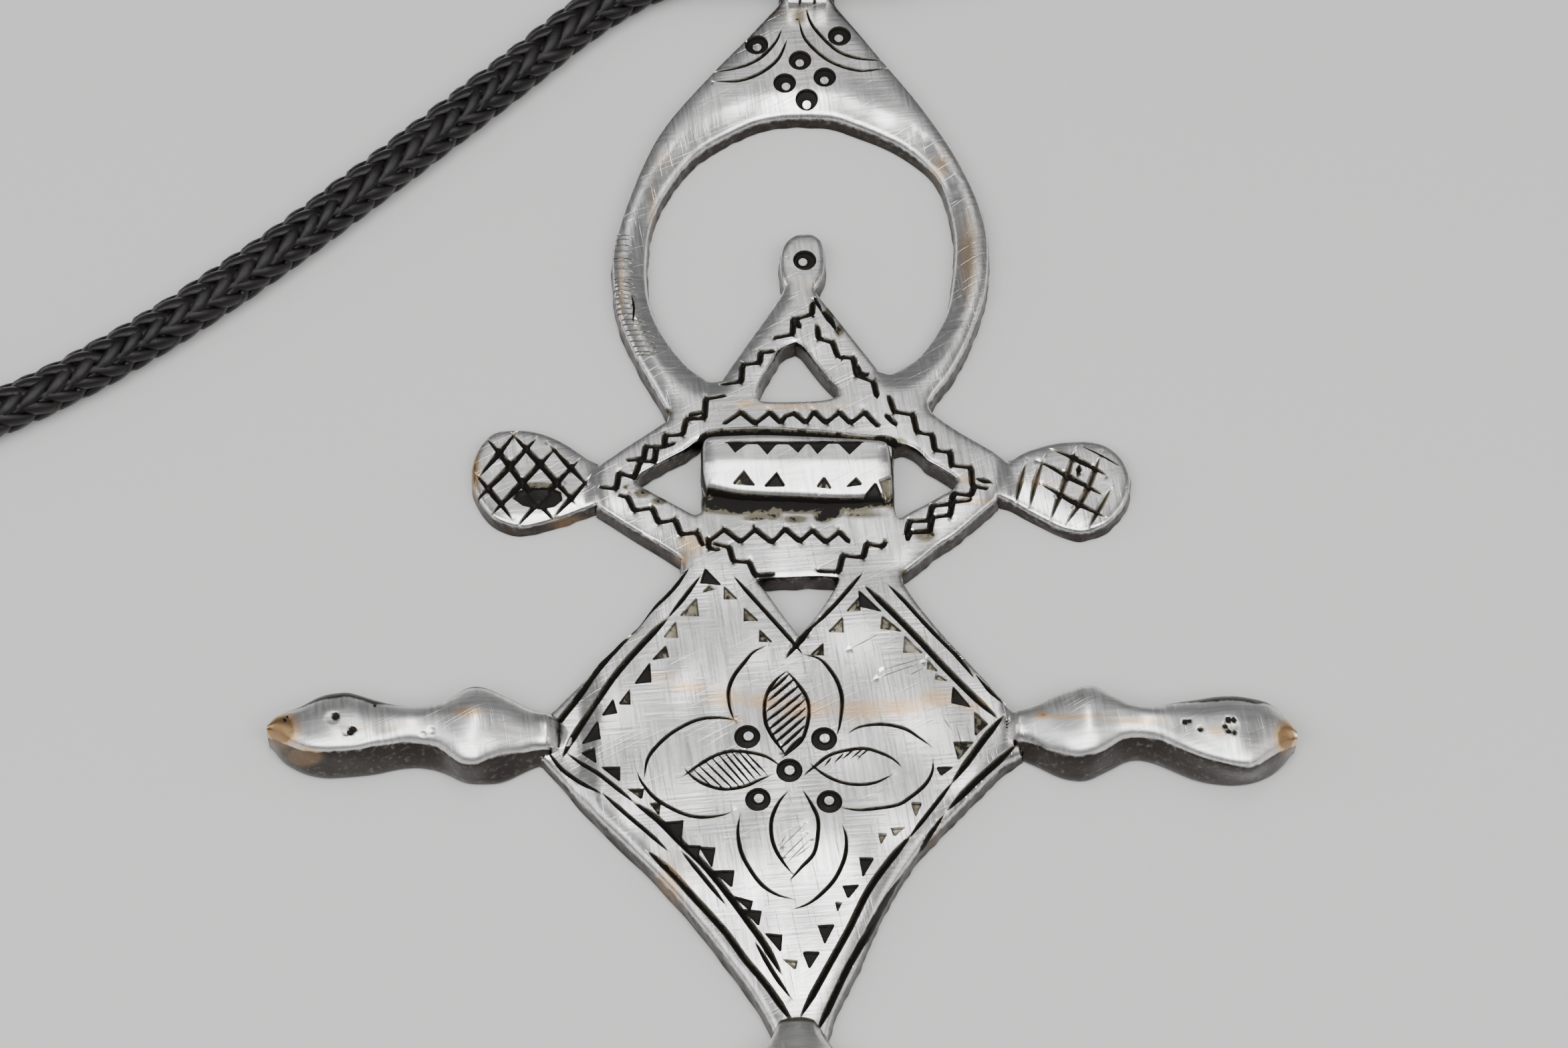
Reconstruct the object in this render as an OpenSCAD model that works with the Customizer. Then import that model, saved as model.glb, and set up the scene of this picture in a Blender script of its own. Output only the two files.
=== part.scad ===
// A tuareg cross pendant on a braided neck cord, lying on its back.
// The back is at z = 0, the pendant's top points to +Y, and the middle of the
// engraved diamond is at the origin. Left is -X, as the wearer's front is seen.

/* [Plate] */
// Thickness of the cast plate: ring, lozenge and diamond
plate_t = 2.2; // [1.6:0.1:3]
// Thickness of the two flat knobs
knob_t = 1.6; // [1:0.1:2]

/* [Diamond] */
// Width of the diamond from tip to tip
diamond_w = 30.4; // [26:0.2:34]
// Height of the notches over the middle of the diamond
notch_y = 15; // [13:0.2:17]
// Width between the two notches
notch_w = 14.4; // [13:0.1:16]
// Height of the tips and arms over the middle of the diamond
tip_y = 2.4; // [1:0.1:4]
// Width of the tips where the arms start
tip_w = 3.1; // [2.4:0.1:3.8]
// Depth of the diamond's foot under its middle
foot_y = 17.1; // [15:0.1:19]
// Width of the foot where the lower baluster starts
foot_w = 2.9; // [2.2:0.1:3.8]
// How far the upper left side bows inwards
upper_left_bow = 0.8; // [0:0.1:1.5]
// How far the upper right side bows inwards
upper_right_bow = 0.7; // [0:0.1:1.5]
// How far the lower left side bows inwards
lower_left_bow = 0.6; // [0:0.1:1.5]
// How far the lower right side bows inwards
lower_right_bow = 1.1; // [0:0.1:1.5]
// Width of the lower window
low_window_w = 5.1; // [3:0.1:6]
// Depth of the lower window
low_window_h = 4.2; // [3:0.1:5]
// Strip of metal left over the lower window
low_window_strip = 1.2; // [1:0.1:2]

/* [Lozenge] */
// Width of the lozenge from knob neck to knob neck
lozenge_w = 26.4; // [24:0.2:30]
// Height of the knob necks over the notches
neck_rise = 5.9; // [5:0.1:7]
// Width of a knob neck
neck_w = 3; // [2:0.1:3.6]
// Height of the waist under the ring over the knob necks
waist_rise = 4.9; // [4.2:0.1:6]
// Width of the waist under the ring
waist_w = 17; // [15:0.1:19]
// Length of a side window
side_window_l = 4.1; // [3:0.1:4.4]
// Height of a side window
side_window_h = 5.2; // [3.6:0.1:5.4]

/* [Block] */
// Length of the raised block
block_l = 12.3; // [10:0.1:13]
// Width of the raised block
block_w = 4.9; // [3.6:0.1:5.2]
// Height of the raised block over the plate
block_h = 1.2; // [0.6:0.1:2]
// Height of the block's middle line over the knob necks
block_rise = 1; // [0.4:0.1:1.4]
// Height of the side windows' middle line over the knob necks
side_window_rise = 0.2; // [0:0.1:1]

/* [Knobs] */
// Radius of the left knob
left_knob_r = 3.6; // [3:0.1:4.2]
// Radius of the right knob
right_knob_r = 3.4; // [3:0.1:4.2]
// Distance from a knob's neck to its middle
knob_reach = 4.8; // [4.4:0.1:6]

/* [Ring] */
// Radius of the round ends of the ring's opening
opening_r = 10.35; // [9:0.05:11]
// Straight height between the two round ends of the opening
opening_h = 1.5; // [0:0.1:3]
// Width of the ring's band at its sides
band_w = 2.2; // [1.6:0.1:3]
// Height of the opening's upper centre over the waist
ring_rise = 13.2; // [12:0.1:14]
// Height of the ring's top over the opening's upper centre
top_rise = 19.6; // [17:0.1:22]
// Width of the ring's top where the bail is soldered on
top_w = 3.9; // [3:0.1:5]

/* [Prong] */
// Height of the pierced triangle over the waist, up to the prong's neck
triangle_h = 9.9; // [8:0.1:10.4]
// Width of the pierced triangle where it leaves the lozenge
triangle_w = 11.4; // [10:0.1:12.4]
// Width of the prong's neck
prong_neck_w = 2.1; // [1.6:0.1:2.8]
// Radius of the prong's round head
prong_r = 1.45; // [1.2:0.05:2.2]
// Height of the middle of the head's round end over the prong's neck
prong_rise = 2.8; // [2.4:0.1:4]
// Straight height of the prong's head
prong_straight = 1.4; // [0:0.1:2]
// Width of the window in the triangle
top_window_w = 5.4; // [3:0.1:6]
// Height of the window in the triangle
top_window_h = 4.4; // [3:0.1:5]
// Height of that window's base over the waist
top_window_rise = 1.3; // [0.8:0.1:2]
// How far that window's sides bow outwards
top_window_bow = 0.3; // [0:0.1:0.5]

/* [Arms and foot] */
// Length of an arm, and of the lower baluster
arm_l = 17.2; // [14:0.2:20]
// Width of an arm at its bulb
arm_w = 5.5; // [4:0.1:6.4]
// Thickness of an arm at its bulb
arm_t = 4.6; // [3.6:0.1:5.4]

/* [Bail] */
// Radius of the bail's hole, which holds the cord
bail_bore_r = 2; // [1.9:0.05:2.4]
// Thickness of the bail's wall
bail_wall = 0.9; // [0.7:0.1:1.4]
// Width of the bail
bail_w = 3; // [2.4:0.1:4]

/* [Hand-made offsets] */
// How far the diamond's tips and arms sit to the right
tip_off = -1; // [-1.5:0.1:1.5]
// How far the foot sits to the right
foot_off = 0.2; // [-1:0.1:1]
// How far the two notches sit to the right
notch_off = -0.25; // [-1:0.05:1]
// How much higher the right notch sits than the left one
notch_tilt = -0.8; // [-1.5:0.1:1.5]
// How far the two knobs sit to the right
knob_off = 0.3; // [-1:0.1:1]
// How much higher the right knob's neck sits than the left one's
neck_tilt = 0.7; // [-1.5:0.1:1.5]
// How far the left knob's middle sits over its neck
left_knob_lift = 1; // [-1:0.05:1.2]
// How far the right knob's middle sits over its neck
right_knob_lift = -0.35; // [-1:0.05:1.2]
// How much higher the waist's right end sits than its left one
waist_tilt = 0.7; // [-1.5:0.1:1.5]
// How far the ring and prong sit to the right
ring_off = 0.3; // [-1:0.1:1]
// How far the ring's top and the bail sit to the right
bail_off = 0.8; // [-1:0.1:1.5]

/* [Cord and clasp] */
// Thickness of the braided cord
cord_d = 3.2; // [2.8:0.1:3.4]
// Length of the barrel clasp
clasp_l = 14; // [12:0.5:20]
// Radius of the barrel clasp
clasp_r = 2.5; // [2.4:0.1:3]
// Clearance between the cord and the clasp's sockets
clasp_gap = 0.12; // [0.1:0.01:0.3]

/* [Hidden] */

ARC_FACES = 96;
ARC_STEP = 6;
CUT = 1;
SINK = 1.2;
SILVER = [0.78, 0.77, 0.74];
WAXED = [0.05, 0.05, 0.055];

neck_y = notch_y + neck_rise;
waist_y = neck_y + waist_rise;
ring_y = waist_y + ring_rise;
top_y = ring_y + top_rise;
block_y = neck_y + block_rise;
side_window_y = neck_y + side_window_rise;
ring_r = opening_r + band_w;
triangle_y = waist_y + triangle_h;
prong_y = triangle_y + prong_rise;
bail_r = bail_bore_r + bail_wall;
notch_l = [notch_off - notch_w / 2, notch_y - notch_tilt / 2];
notch_r = [notch_off + notch_w / 2, notch_y + notch_tilt / 2];
neck_l = [knob_off - lozenge_w / 2, neck_y - neck_tilt / 2];
neck_r = [knob_off + lozenge_w / 2, neck_y + neck_tilt / 2];
waist_l = [-waist_w / 2, waist_y - waist_tilt / 2];
waist_r = [waist_w / 2, waist_y + waist_tilt / 2];
tip_l = [tip_off - diamond_w / 2, tip_y];
tip_r = [tip_off + diamond_w / 2, tip_y];
foot = [foot_off, -foot_y];
bail_y = top_y + bail_r - bail_wall / 2;

// The arms' sections: along the arm, half width and height, each as a share
// of the arm's length, half of its width and its thickness.
ARM_ROWS = [
    [0.00, 0.58, 0.53],
    [0.07, 0.70, 0.70],
    [0.16, 1.04, 0.90],
    [0.24, 1.26, 1.00],
    [0.30, 1.12, 0.98],
    [0.38, 0.80, 0.90],
    [0.47, 0.67, 0.85],
    [0.55, 0.71, 0.87],
    [0.65, 0.88, 0.94],
    [0.74, 1.00, 1.00],
    [0.83, 0.99, 1.00],
    [0.91, 0.82, 0.95],
    [0.97, 0.52, 0.82],
    [1.00, 0.24, 0.60]
];

// Half of an arm's cross section, from the back's edge to the crown, as shares
// of the half width and the height.
ARM_PROFILE = [
    [0.84, 0.00],
    [1.00, 0.20],
    [1.00, 0.50],
    [0.82, 0.83],
    [0.45, 0.96]
];

// The block's sections: along and half width, as shares of half the length and
// of half the width, and height, as a share of the block's height.
BLOCK_ROWS = [
    [-1.00, 0.94, 0.45],
    [-0.93, 1.00, 0.85],
    [-0.84, 1.00, 1.00],
    [0.84, 1.00, 1.00],
    [0.93, 1.00, 0.85],
    [1.00, 0.94, 0.45]
];
BLOCK_PROFILE = [
    [1.00, 0.00],
    [1.00, 0.45],
    [0.72, 0.90]
];

// The cord's middle line, chosen by hand: from its end in the clasp round the
// right side, through the bail, down the left side and back to the clasp.
lie = cord_d / 2;
ROUTE = [
    [4, 200, clasp_r],
    [12, 200, clasp_r],
    [30, 197, lie],
    [54, 188, lie],
    [75, 172, lie],
    [91, 151, lie],
    [99, 127, lie],
    [98, 103, lie],
    [86, 84, lie],
    [67, 72.5, lie],
    [46, 67, lie],
    [28, 64.8, lie],
    [16, 63.2, lie],
    [10, 62, lie + 0.4],
    [6.4, 61.2, lie + 1],
    [3.2, bail_y, bail_r],
    [-1.6, bail_y, bail_r],
    [-5, 61.2, lie + 1],
    [-8.6, 60.7, lie + 0.4],
    [-13.5, 58, lie],
    [-20, 52, lie],
    [-28, 44.6, lie],
    [-36, 37.5, lie],
    [-44.5, 31, lie],
    [-53, 26, lie],
    [-65, 21, lie],
    [-79, 18.5, lie],
    [-93, 22.5, lie],
    [-103, 34, lie],
    [-107, 52, lie],
    [-107, 76, lie],
    [-104, 100, lie],
    [-98, 124, lie],
    [-87, 148, lie],
    [-72, 169, lie],
    [-53, 185, lie],
    [-30, 196, lie],
    [-12, 200, clasp_r],
    [-4, 200, clasp_r]
];
CORD_SIDES = 8;
CORD_STEPS = 2;

// Direction from the middle of the circle (c, r) to where the straight line from
// p touches it; side is 1 or -1.
function touch(c, r, p, side) =
    let (away = atan2(p[1] - c[1], p[0] - c[0]))
    away + side * acos(r / norm(p - c));

// Points of the arc round c from one direction to another, in degrees.
function arc(c, r, from, to) =
    let (steps = max(2, ceil(abs(to - from) / ARC_STEP)))
    [for (i = [0:steps])
        let (turn = from + (to - from) * i / steps)
        c + r * [cos(turn), sin(turn)]];

// Points of a shallow arc from p to q that bows by rise to the left of the way.
function bow(p, q, rise, steps = 8) =
    let (across = [-(q - p)[1], (q - p)[0]] / norm(q - p))
    [for (i = [0:steps])
        let (s = i / steps)
        p + (q - p) * s + across * rise * 4 * s * (1 - s)];

// Full cross section from the half given in profile, for a half width w and a
// height h.
function section(profile, w, h) =
    concat(
        [for (p = profile) [p[0] * w, p[1] * h]],
        [[0, h]],
        [for (i = [len(profile) - 1:-1:0]) [-profile[i][0] * w, profile[i][1] * h]]
    );

// Solid through sections: each row is how far along X, half width, base and
// height.
module loft(rows, profile) {
    sides = len(profile) * 2 + 1;
    last = len(rows) - 1;
    points = [for (row = rows) for (p = section(profile, row[1], row[3]))
        [row[0], p[0], row[2] + p[1]]];
    skin = [for (i = [0:last - 1]) for (k = [0:sides - 1])
        let (a = i * sides + k)
        let (b = i * sides + (k + 1) % sides)
        each [[a, a + sides, b], [b, a + sides, b + sides]]];
    start = [[for (k = [0:sides - 1]) k]];
    end = [[for (k = [sides - 1:-1:0]) last * sides + k]];
    polyhedron(points, concat(skin, start, end));
}

// One point of the smooth curve through the route, s of the way from point i
// to the next, never lower than the cord lies.
function route_at(i, s) =
    let (last = len(ROUTE) - 1)
    let (a = ROUTE[max(i - 1, 0)])
    let (b = ROUTE[i])
    let (c = ROUTE[min(i + 1, last)])
    let (d = ROUTE[min(i + 2, last)])
    let (p = 0.5 * (2 * b + (c - a) * s + (2 * a - 5 * b + 4 * c - d) * s * s
        + (3 * b - a - 3 * c + d) * s * s * s))
    [p[0], p[1], max(p[2], lie)];

function unit(v) = v / norm(v);

// Right side of the diamond, from its foot up to the notch.
function diamond_right() =
    concat(
        bow(foot + [foot_w / 2, 0], tip_r - [0, tip_w / 2], lower_right_bow),
        bow(tip_r + [0, tip_w / 2], notch_r, upper_right_bow)
    );

// Left side of the diamond, from the notch down to its foot.
function diamond_left() =
    concat(
        bow(notch_l, tip_l + [0, tip_w / 2], upper_left_bow),
        bow(tip_l - [0, tip_w / 2], foot - [foot_w / 2, 0], lower_left_bow)
    );

// The drop shape of the ring, from the waist's right end over the bail's slab
// to the waist's left end.
function ring_side() =
    let (upper = [ring_off, ring_y])
    let (lower = [ring_off, ring_y - opening_h])
    let (top_l = [bail_off - top_w / 2, top_y])
    let (top_r = [bail_off + top_w / 2, top_y])
    let (to_bail = [0, bail_y - bail_bore_r - top_y])
    concat(
        [waist_r],
        arc(lower, ring_r, touch(lower, ring_r, waist_r, 1), 0),
        arc(upper, ring_r, 0, touch(upper, ring_r, top_r, -1)),
        [top_r, top_r + to_bail, top_l + to_bail, top_l],
        arc(upper, ring_r, touch(upper, ring_r, top_l, 1), 180),
        arc(lower, ring_r, 180, 360 + touch(lower, ring_r, waist_l, -1)),
        [waist_l]
    );

// Outline of the whole plate without its openings, anticlockwise from the foot:
// the diamond, the lozenge up to the knob necks and the waist, and the ring.
module plate_outline() {
    half_neck = [0, neck_w / 2];
    polygon(concat(
        diamond_right(),
        [neck_r - half_neck, neck_r + half_neck],
        ring_side(),
        [neck_l + half_neck, neck_l - half_neck],
        diamond_left()
    ));
}

// The ring's opening, with the two round ends.
module opening_outline() {
    upper = [ring_off, ring_y];
    lower = [ring_off, ring_y - opening_h];
    polygon(concat(arc(upper, opening_r, 0, 180), arc(lower, opening_r, 180, 360)));
}

// The pierced triangle and the prong that stand up into the opening.
module prong_outline() {
    shoulder_y = waist_y + top_window_rise;
    upper = [0, prong_y];
    lower = [0, prong_y - prong_straight];
    neck_turn = acos(prong_neck_w / 2 / prong_r);
    translate([ring_off, 0])
        polygon(concat(
            [
                [-triangle_w / 2, waist_y - SINK],
                [triangle_w / 2, waist_y - SINK],
                [triangle_w / 2, shoulder_y],
                [prong_neck_w / 2, triangle_y]
            ],
            arc(lower, prong_r, -neck_turn, 0),
            arc(upper, prong_r, 0, 180),
            arc(lower, prong_r, 180, 180 + neck_turn),
            [
                [-prong_neck_w / 2, triangle_y],
                [-triangle_w / 2, shoulder_y]
            ]
        ));
}

// One flat knob of radius r that points to +X from its neck.
module knob_outline(r, lift) {
    middle = [knob_reach, lift];
    neck_low = [0, -neck_w / 2];
    neck_high = [0, neck_w / 2];
    polygon(concat(
        [[-SINK, -0.4 * neck_w], neck_low],
        arc(middle, r, touch(middle, r, neck_low, 1), touch(middle, r, neck_high, -1)),
        [neck_high, [-SINK, 0.4 * neck_w]]
    ));
}

// The two side windows, the window in the triangle and the one in the diamond.
module windows_outline() {
    start = block_l / 2 + 0.1;
    for (side = [-1, 1])
        polygon([
            [side * start, side_window_y - side_window_h / 2],
            [side * (start + side_window_l), side_window_y],
            [side * start, side_window_y + side_window_h / 2]
        ]);
    window_y = waist_y + top_window_rise;
    corner_l = [ring_off - top_window_w / 2, window_y];
    corner_r = [ring_off + top_window_w / 2, window_y];
    apex = [ring_off, window_y + top_window_h];
    polygon(concat(
        bow(apex, corner_l, -top_window_bow),
        bow(corner_r, apex, -top_window_bow)
    ));
    low_y = notch_y - low_window_strip;
    polygon([
        [-low_window_w / 2, low_y],
        [0, low_y - low_window_h],
        [low_window_w / 2, low_y]
    ]);
}

module plate() {
    linear_extrude(plate_t)
        difference() {
            plate_outline();
            difference() {
                opening_outline();
                prong_outline();
            }
            windows_outline();
        }
}

module knobs() {
    linear_extrude(knob_t) {
        translate(neck_r)
            knob_outline(right_knob_r, right_knob_lift);
        translate(neck_l)
            mirror([1, 0])
                knob_outline(left_knob_r, left_knob_lift);
    }
}

module block() {
    rows = [for (row = BLOCK_ROWS)
        [row[0] * block_l / 2, row[1] * block_w / 2, 0, plate_t + row[2] * block_h]];
    translate([0, block_y, 0])
        loft(rows, BLOCK_PROFILE);
}

// One baluster that points to +X, rooted in the plate behind x = 0.
module baluster() {
    root = [-SINK, 0.8 * tip_w / 2, 0, 0.8 * plate_t];
    rows = [for (row = ARM_ROWS)
        [row[0] * arm_l, row[1] * arm_w / 2, 0, row[2] * arm_t]];
    loft(concat([root], rows), ARM_PROFILE);
}

module bail() {
    translate([bail_off - bail_w / 2, bail_y, bail_r])
        rotate([0, 90, 0])
            cylinder(h = bail_w, r = bail_r, $fn = ARC_FACES);
}

module cross() {
    color(SILVER)
        difference() {
            union() {
                plate();
                knobs();
                block();
                translate(tip_r)
                    baluster();
                translate(tip_l)
                    rotate([0, 0, 180])
                        baluster();
                translate(foot)
                    rotate([0, 0, -90])
                        baluster();
                bail();
            }
            translate([bail_off - bail_w / 2 - CUT, bail_y, bail_r])
                rotate([0, 90, 0])
                    cylinder(h = bail_w + 2 * CUT, r = bail_bore_r, $fn = ARC_FACES);
        }
}

// The cord as a plain tube along its route; the flats of its sides lie flat.
module neck_cord() {
    spans = len(ROUTE) - 1;
    corner_r = cord_d / 2 / cos(180 / CORD_SIDES);
    path = concat(
        [for (i = [0:spans - 1]) for (k = [0:CORD_STEPS - 1]) route_at(i, k / CORD_STEPS)],
        [ROUTE[spans]]
    );
    last = len(path) - 1;
    points = [for (i = [0:last])
        let (way = unit(path[min(i + 1, last)] - path[max(i - 1, 0)]))
        let (across = unit(cross_z(way)))
        let (up = cross(way, across))
        for (k = [0:CORD_SIDES - 1])
            let (turn = (k + 0.5) * 360 / CORD_SIDES)
            path[i] + corner_r * (cos(turn) * across + sin(turn) * up)];
    skin = [for (i = [0:last - 1]) for (k = [0:CORD_SIDES - 1])
        let (a = i * CORD_SIDES + k)
        let (b = i * CORD_SIDES + (k + 1) % CORD_SIDES)
        each [[a, a + CORD_SIDES, b], [b, a + CORD_SIDES, b + CORD_SIDES]]];
    start = [[for (k = [0:CORD_SIDES - 1]) k]];
    end = [[for (k = [CORD_SIDES - 1:-1:0]) last * CORD_SIDES + k]];
    color(WAXED)
        polyhedron(points, concat(skin, start, end));
}

// Level direction square to way.
function cross_z(way) = [-way[1], way[0], 0];

// The barrel that both ends of the cord go into.
module clasp() {
    last = len(ROUTE) - 1;
    middle = (ROUTE[0] + ROUTE[last]) / 2;
    wall = norm(ROUTE[0] - ROUTE[last]) - 2 * clasp_gap;
    socket_l = (clasp_l - wall) / 2;
    socket_r = cord_d / 2 / cos(180 / CORD_SIDES) + clasp_gap;
    color(SILVER)
        translate(middle)
            rotate([0, 90, 0])
                difference() {
                    cylinder(h = clasp_l, r = clasp_r, center = true, $fn = ARC_FACES);
                    for (side = [-1, 1])
                        translate([0, 0, side * (wall / 2 + socket_l / 2 + CUT / 2)])
                            cylinder(h = socket_l + CUT, r = socket_r, center = true,
                                $fn = ARC_FACES);
                }
}

cross();
neck_cord();
clasp();
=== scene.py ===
"""Looks of the tuareg cross pendant on its braided neck cord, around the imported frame.

Lengths are in millimetres until a mesh is made. Outlines and ornament are charted in
pixels of the photograph, and the camera casts them onto the level that they lie on.
"""
import math

import bpy
import numpy as np
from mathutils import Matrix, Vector
from mathutils.geometry import delaunay_2d_cdt
from mathutils.kdtree import KDTree


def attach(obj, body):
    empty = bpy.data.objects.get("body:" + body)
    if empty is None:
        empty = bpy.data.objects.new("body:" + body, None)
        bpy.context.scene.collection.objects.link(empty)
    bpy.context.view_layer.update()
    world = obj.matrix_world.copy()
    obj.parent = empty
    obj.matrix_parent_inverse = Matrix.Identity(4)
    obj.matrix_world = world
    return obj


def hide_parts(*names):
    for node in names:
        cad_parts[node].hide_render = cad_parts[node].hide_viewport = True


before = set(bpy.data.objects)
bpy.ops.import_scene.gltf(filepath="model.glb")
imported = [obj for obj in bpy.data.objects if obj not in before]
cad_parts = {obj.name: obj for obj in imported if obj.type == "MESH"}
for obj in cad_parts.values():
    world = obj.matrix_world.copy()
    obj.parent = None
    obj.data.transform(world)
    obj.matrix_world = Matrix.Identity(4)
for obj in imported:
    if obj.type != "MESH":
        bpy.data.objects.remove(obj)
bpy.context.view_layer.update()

MM = 0.001

# Camera
PHOTO_W = 2346
PHOTO_H = 1568
LENS = 120.0
SENSOR = 36.0
ELEVATION = math.radians(62)
DISTANCE = 340.0
LOOK_AT = np.array([-0.8, 17.7, 2.0])
FOCAL = PHOTO_W * LENS / SENSOR
RIGHT = np.array([1.0, 0.0, 0.0])
FORWARD = np.array([0.0, math.cos(ELEVATION), -math.sin(ELEVATION)])
UP = np.array([0.0, math.sin(ELEVATION), math.cos(ELEVATION)])
EYE = LOOK_AT - DISTANCE * FORWARD

# Lights: name, place, the place they face, size, power and colour
LIGHTS = [
    ("strip", (0.01, 0.095, 0.62), (0.01, 0.095, 0.0), (0.12, 0.30), 1.3, (1, 1, 1)),
    ("front", (0.0, -0.26, 0.60), (0.0, -0.12, 0.0), (0.90, 0.36), 6.6, (1, 1, 1)),
    ("back", (0.0, 0.42, 0.62), (0.0, 0.42, 0.0), (0.60, 0.13), 0.22, (1, 1, 1)),
    ("left", (-0.75, 0.0, 0.45), (0.0, 0.015, 0.0), (0.5, 0.6), 1.7, (0.96, 0.98, 1.0)),
    ("right", (0.75, 0.0, 0.45), (0.0, 0.015, 0.0), (0.5, 0.6), 1.3, (1.0, 0.98, 0.96)),
]

# Levels and sizes as in the frame, but for the round ends, which stand 0.2 higher here
PLATE_T = 2.2
KNOB_T = 1.8
BLOCK_TOP = 3.4
BAIL_BORE_R = 2.0
BAIL_R = 2.9
BAIL_W = 3.0
BAIL_OFF = 0.8
BAIL_Y = 61.05
CORD_R = 1.6

# The bail's two turned lines, and how black they and its bore are
BAIL_LINE_R = BAIL_R - 0.13
BAIL_OXIDE = 0.75

# The hammered middle of the big lozenge, and the reach over which ridges are evened
CROWN_AT = (0.4, -5.0)
CROWN_R = 9.0
CROWN_DROP = 0.30
EASE_R = 0.35

# Unevenness of hand work: how much of it, and its wave lengths
UNEVEN = {
    "plate": (0.040, (9.5, 7.1, 5.3)), "fine": (0.007, (2.9, 2.2)),
    "block": (0.03, (5.5, 3.9)), "wall": (0.03, (2.3, 1.4, 0.9)),
    "arm": (0.025, (3.7, 2.6)), "arm height": (0.006, (3.1, 2.1)),
}

# Values at the points of the silver: black from oxide and from painted shade, warm tarnish, and painted
# shade on walls and sides; and what they are on its back
VALUE_KEYS = ("oxide", "warm", "side")
BACK_VALUES = (0.1, 0.2, 0.4)

# Spacing of the mesh: along strokes, over the plate and block, clear of the rim, and in
# rows inside it
STROKE_STEP = 0.14
PLATE_GRID = 0.27
BLOCK_GRID = 0.24
RIM_CLEAR = 0.07
RIM_ROWS = (0.06, 0.15, 0.27, 0.42)

# Walls from the upper edge down: share of the height, how far out, how black they are painted as shade
PLATE_WALL = ((0.82, 0.03, 0.12), (0.45, 0.06, 0.2), (0.12, 0.10, 0.3), (0.0, -0.08, 0.3))
# The block's walls are painted black: a painted shadow band along its front
BLOCK_WALL = ((0.9, 0.04, 0.85), (0.72, 0.08, 1.0), (0.45, 0.10, 1.0))

# File marks and scratches in the silver: way in degrees and stretch; scratches also have
# the noise from which they are whole
FILE_MARKS = ((5, (0.2, 4.4, 1)), (98, (0.2, 4.2, 1)))
SCRATCHES = ((28, (0.16, 8.5, 1), 0.78), (101, (0.2, 9.0, 1), 0.79))

# Colours: the silver from bright to black, its walls painted dark as shade (brown where tarnished), the
# wax, the clasp and the floor
COLOURS = {
    "bright": (0.90, 0.89, 0.88, 1), "filed": (0.60, 0.59, 0.575, 1),
    "clouded": (0.60, 0.59, 0.58, 1), "dull": (0.17, 0.155, 0.115, 1),
    "copper": (0.80, 0.58, 0.38, 1), "amber": (0.38, 0.24, 0.12, 1),
    "wall": (0.038, 0.032, 0.028, 1), "shaded warm wall": (0.15, 0.10, 0.06, 1),
    "black": (0.012, 0.011, 0.010, 1), "wax": (0.0025, 0.0023, 0.0027, 1),
    "worn wax": (0.006, 0.004, 0.004, 1), "clasp": (0.62, 0.61, 0.60, 1),
    "floor": (0.54, 0.535, 0.53, 1),
}

# The neck cord: the few points that its middle runs through
CORD_ROUTE = [
    (4, 200, 2.5), (12, 200, 2.5), (30, 197, 1.6), (54, 188, 1.6), (75, 172, 1.6), (91, 151, 1.6),
    (99, 127, 1.6), (98, 103, 1.6), (86, 84, 1.6), (67, 72.5, 1.6), (46, 67, 1.6), (28, 64.8, 1.6),
    (16, 63.2, 1.6), (10, 62, 2.0), (6.4, 61.2, 2.6), (3.2, 61.05, 2.9), (-1.6, 61.05, 2.9),
    (-5, 61.2, 2.6), (-8.6, 60.7, 2.0), (-13.5, 58, 1.6), (-20, 52, 1.6), (-28, 44.6, 1.6),
    (-36, 37.5, 1.6), (-44.5, 31, 1.6), (-53, 26, 1.6), (-65, 21, 1.6), (-79, 18.5, 1.6),
    (-93, 22.5, 1.6), (-103, 34, 1.6), (-107, 52, 1.6), (-107, 76, 1.6), (-104, 100, 1.6),
    (-98, 124, 1.6), (-87, 148, 1.6), (-72, 169, 1.6), (-53, 185, 1.6), (-30, 196, 1.6), (-12, 200, 2.5),
    (-4, 200, 2.5),
]
STRANDS = 8
BRAID_PITCH = 14.4
BRAID_R = 1.17
BRAID_SWAY = 0.17
STRAND_W = 0.92
STRAND_T = 0.54
CORE_R = 0.85
RING_COUNT = 8
# How far a strand drifts and over what length: twice in its turn, in its radius, in its width
STRAND_DRIFT = ((0.05, 2.9), (0.03, 1.1), (0.02, 1.7), (0.06, 2.3))
FINE_BOX = ((-62.0, 20.0), (8.0, 66.0))

# The clasp, and one half of its profile from the seam to the socket: place and radius
CLASP_AT = (0.0, 200.0, 2.5)
CLASP_PROFILE = [
    (0.1, 2.32), (0.18, 2.46), (0.35, 2.5), (5.2, 2.44), (5.55, 2.3), (5.7, 2.12), (5.9, 2.12),
    (6.05, 2.22), (6.2, 2.35), (6.6, 2.35), (6.85, 2.28), (7.0, 2.1), (7.0, 1.72), (6.7, 1.66),
]

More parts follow.
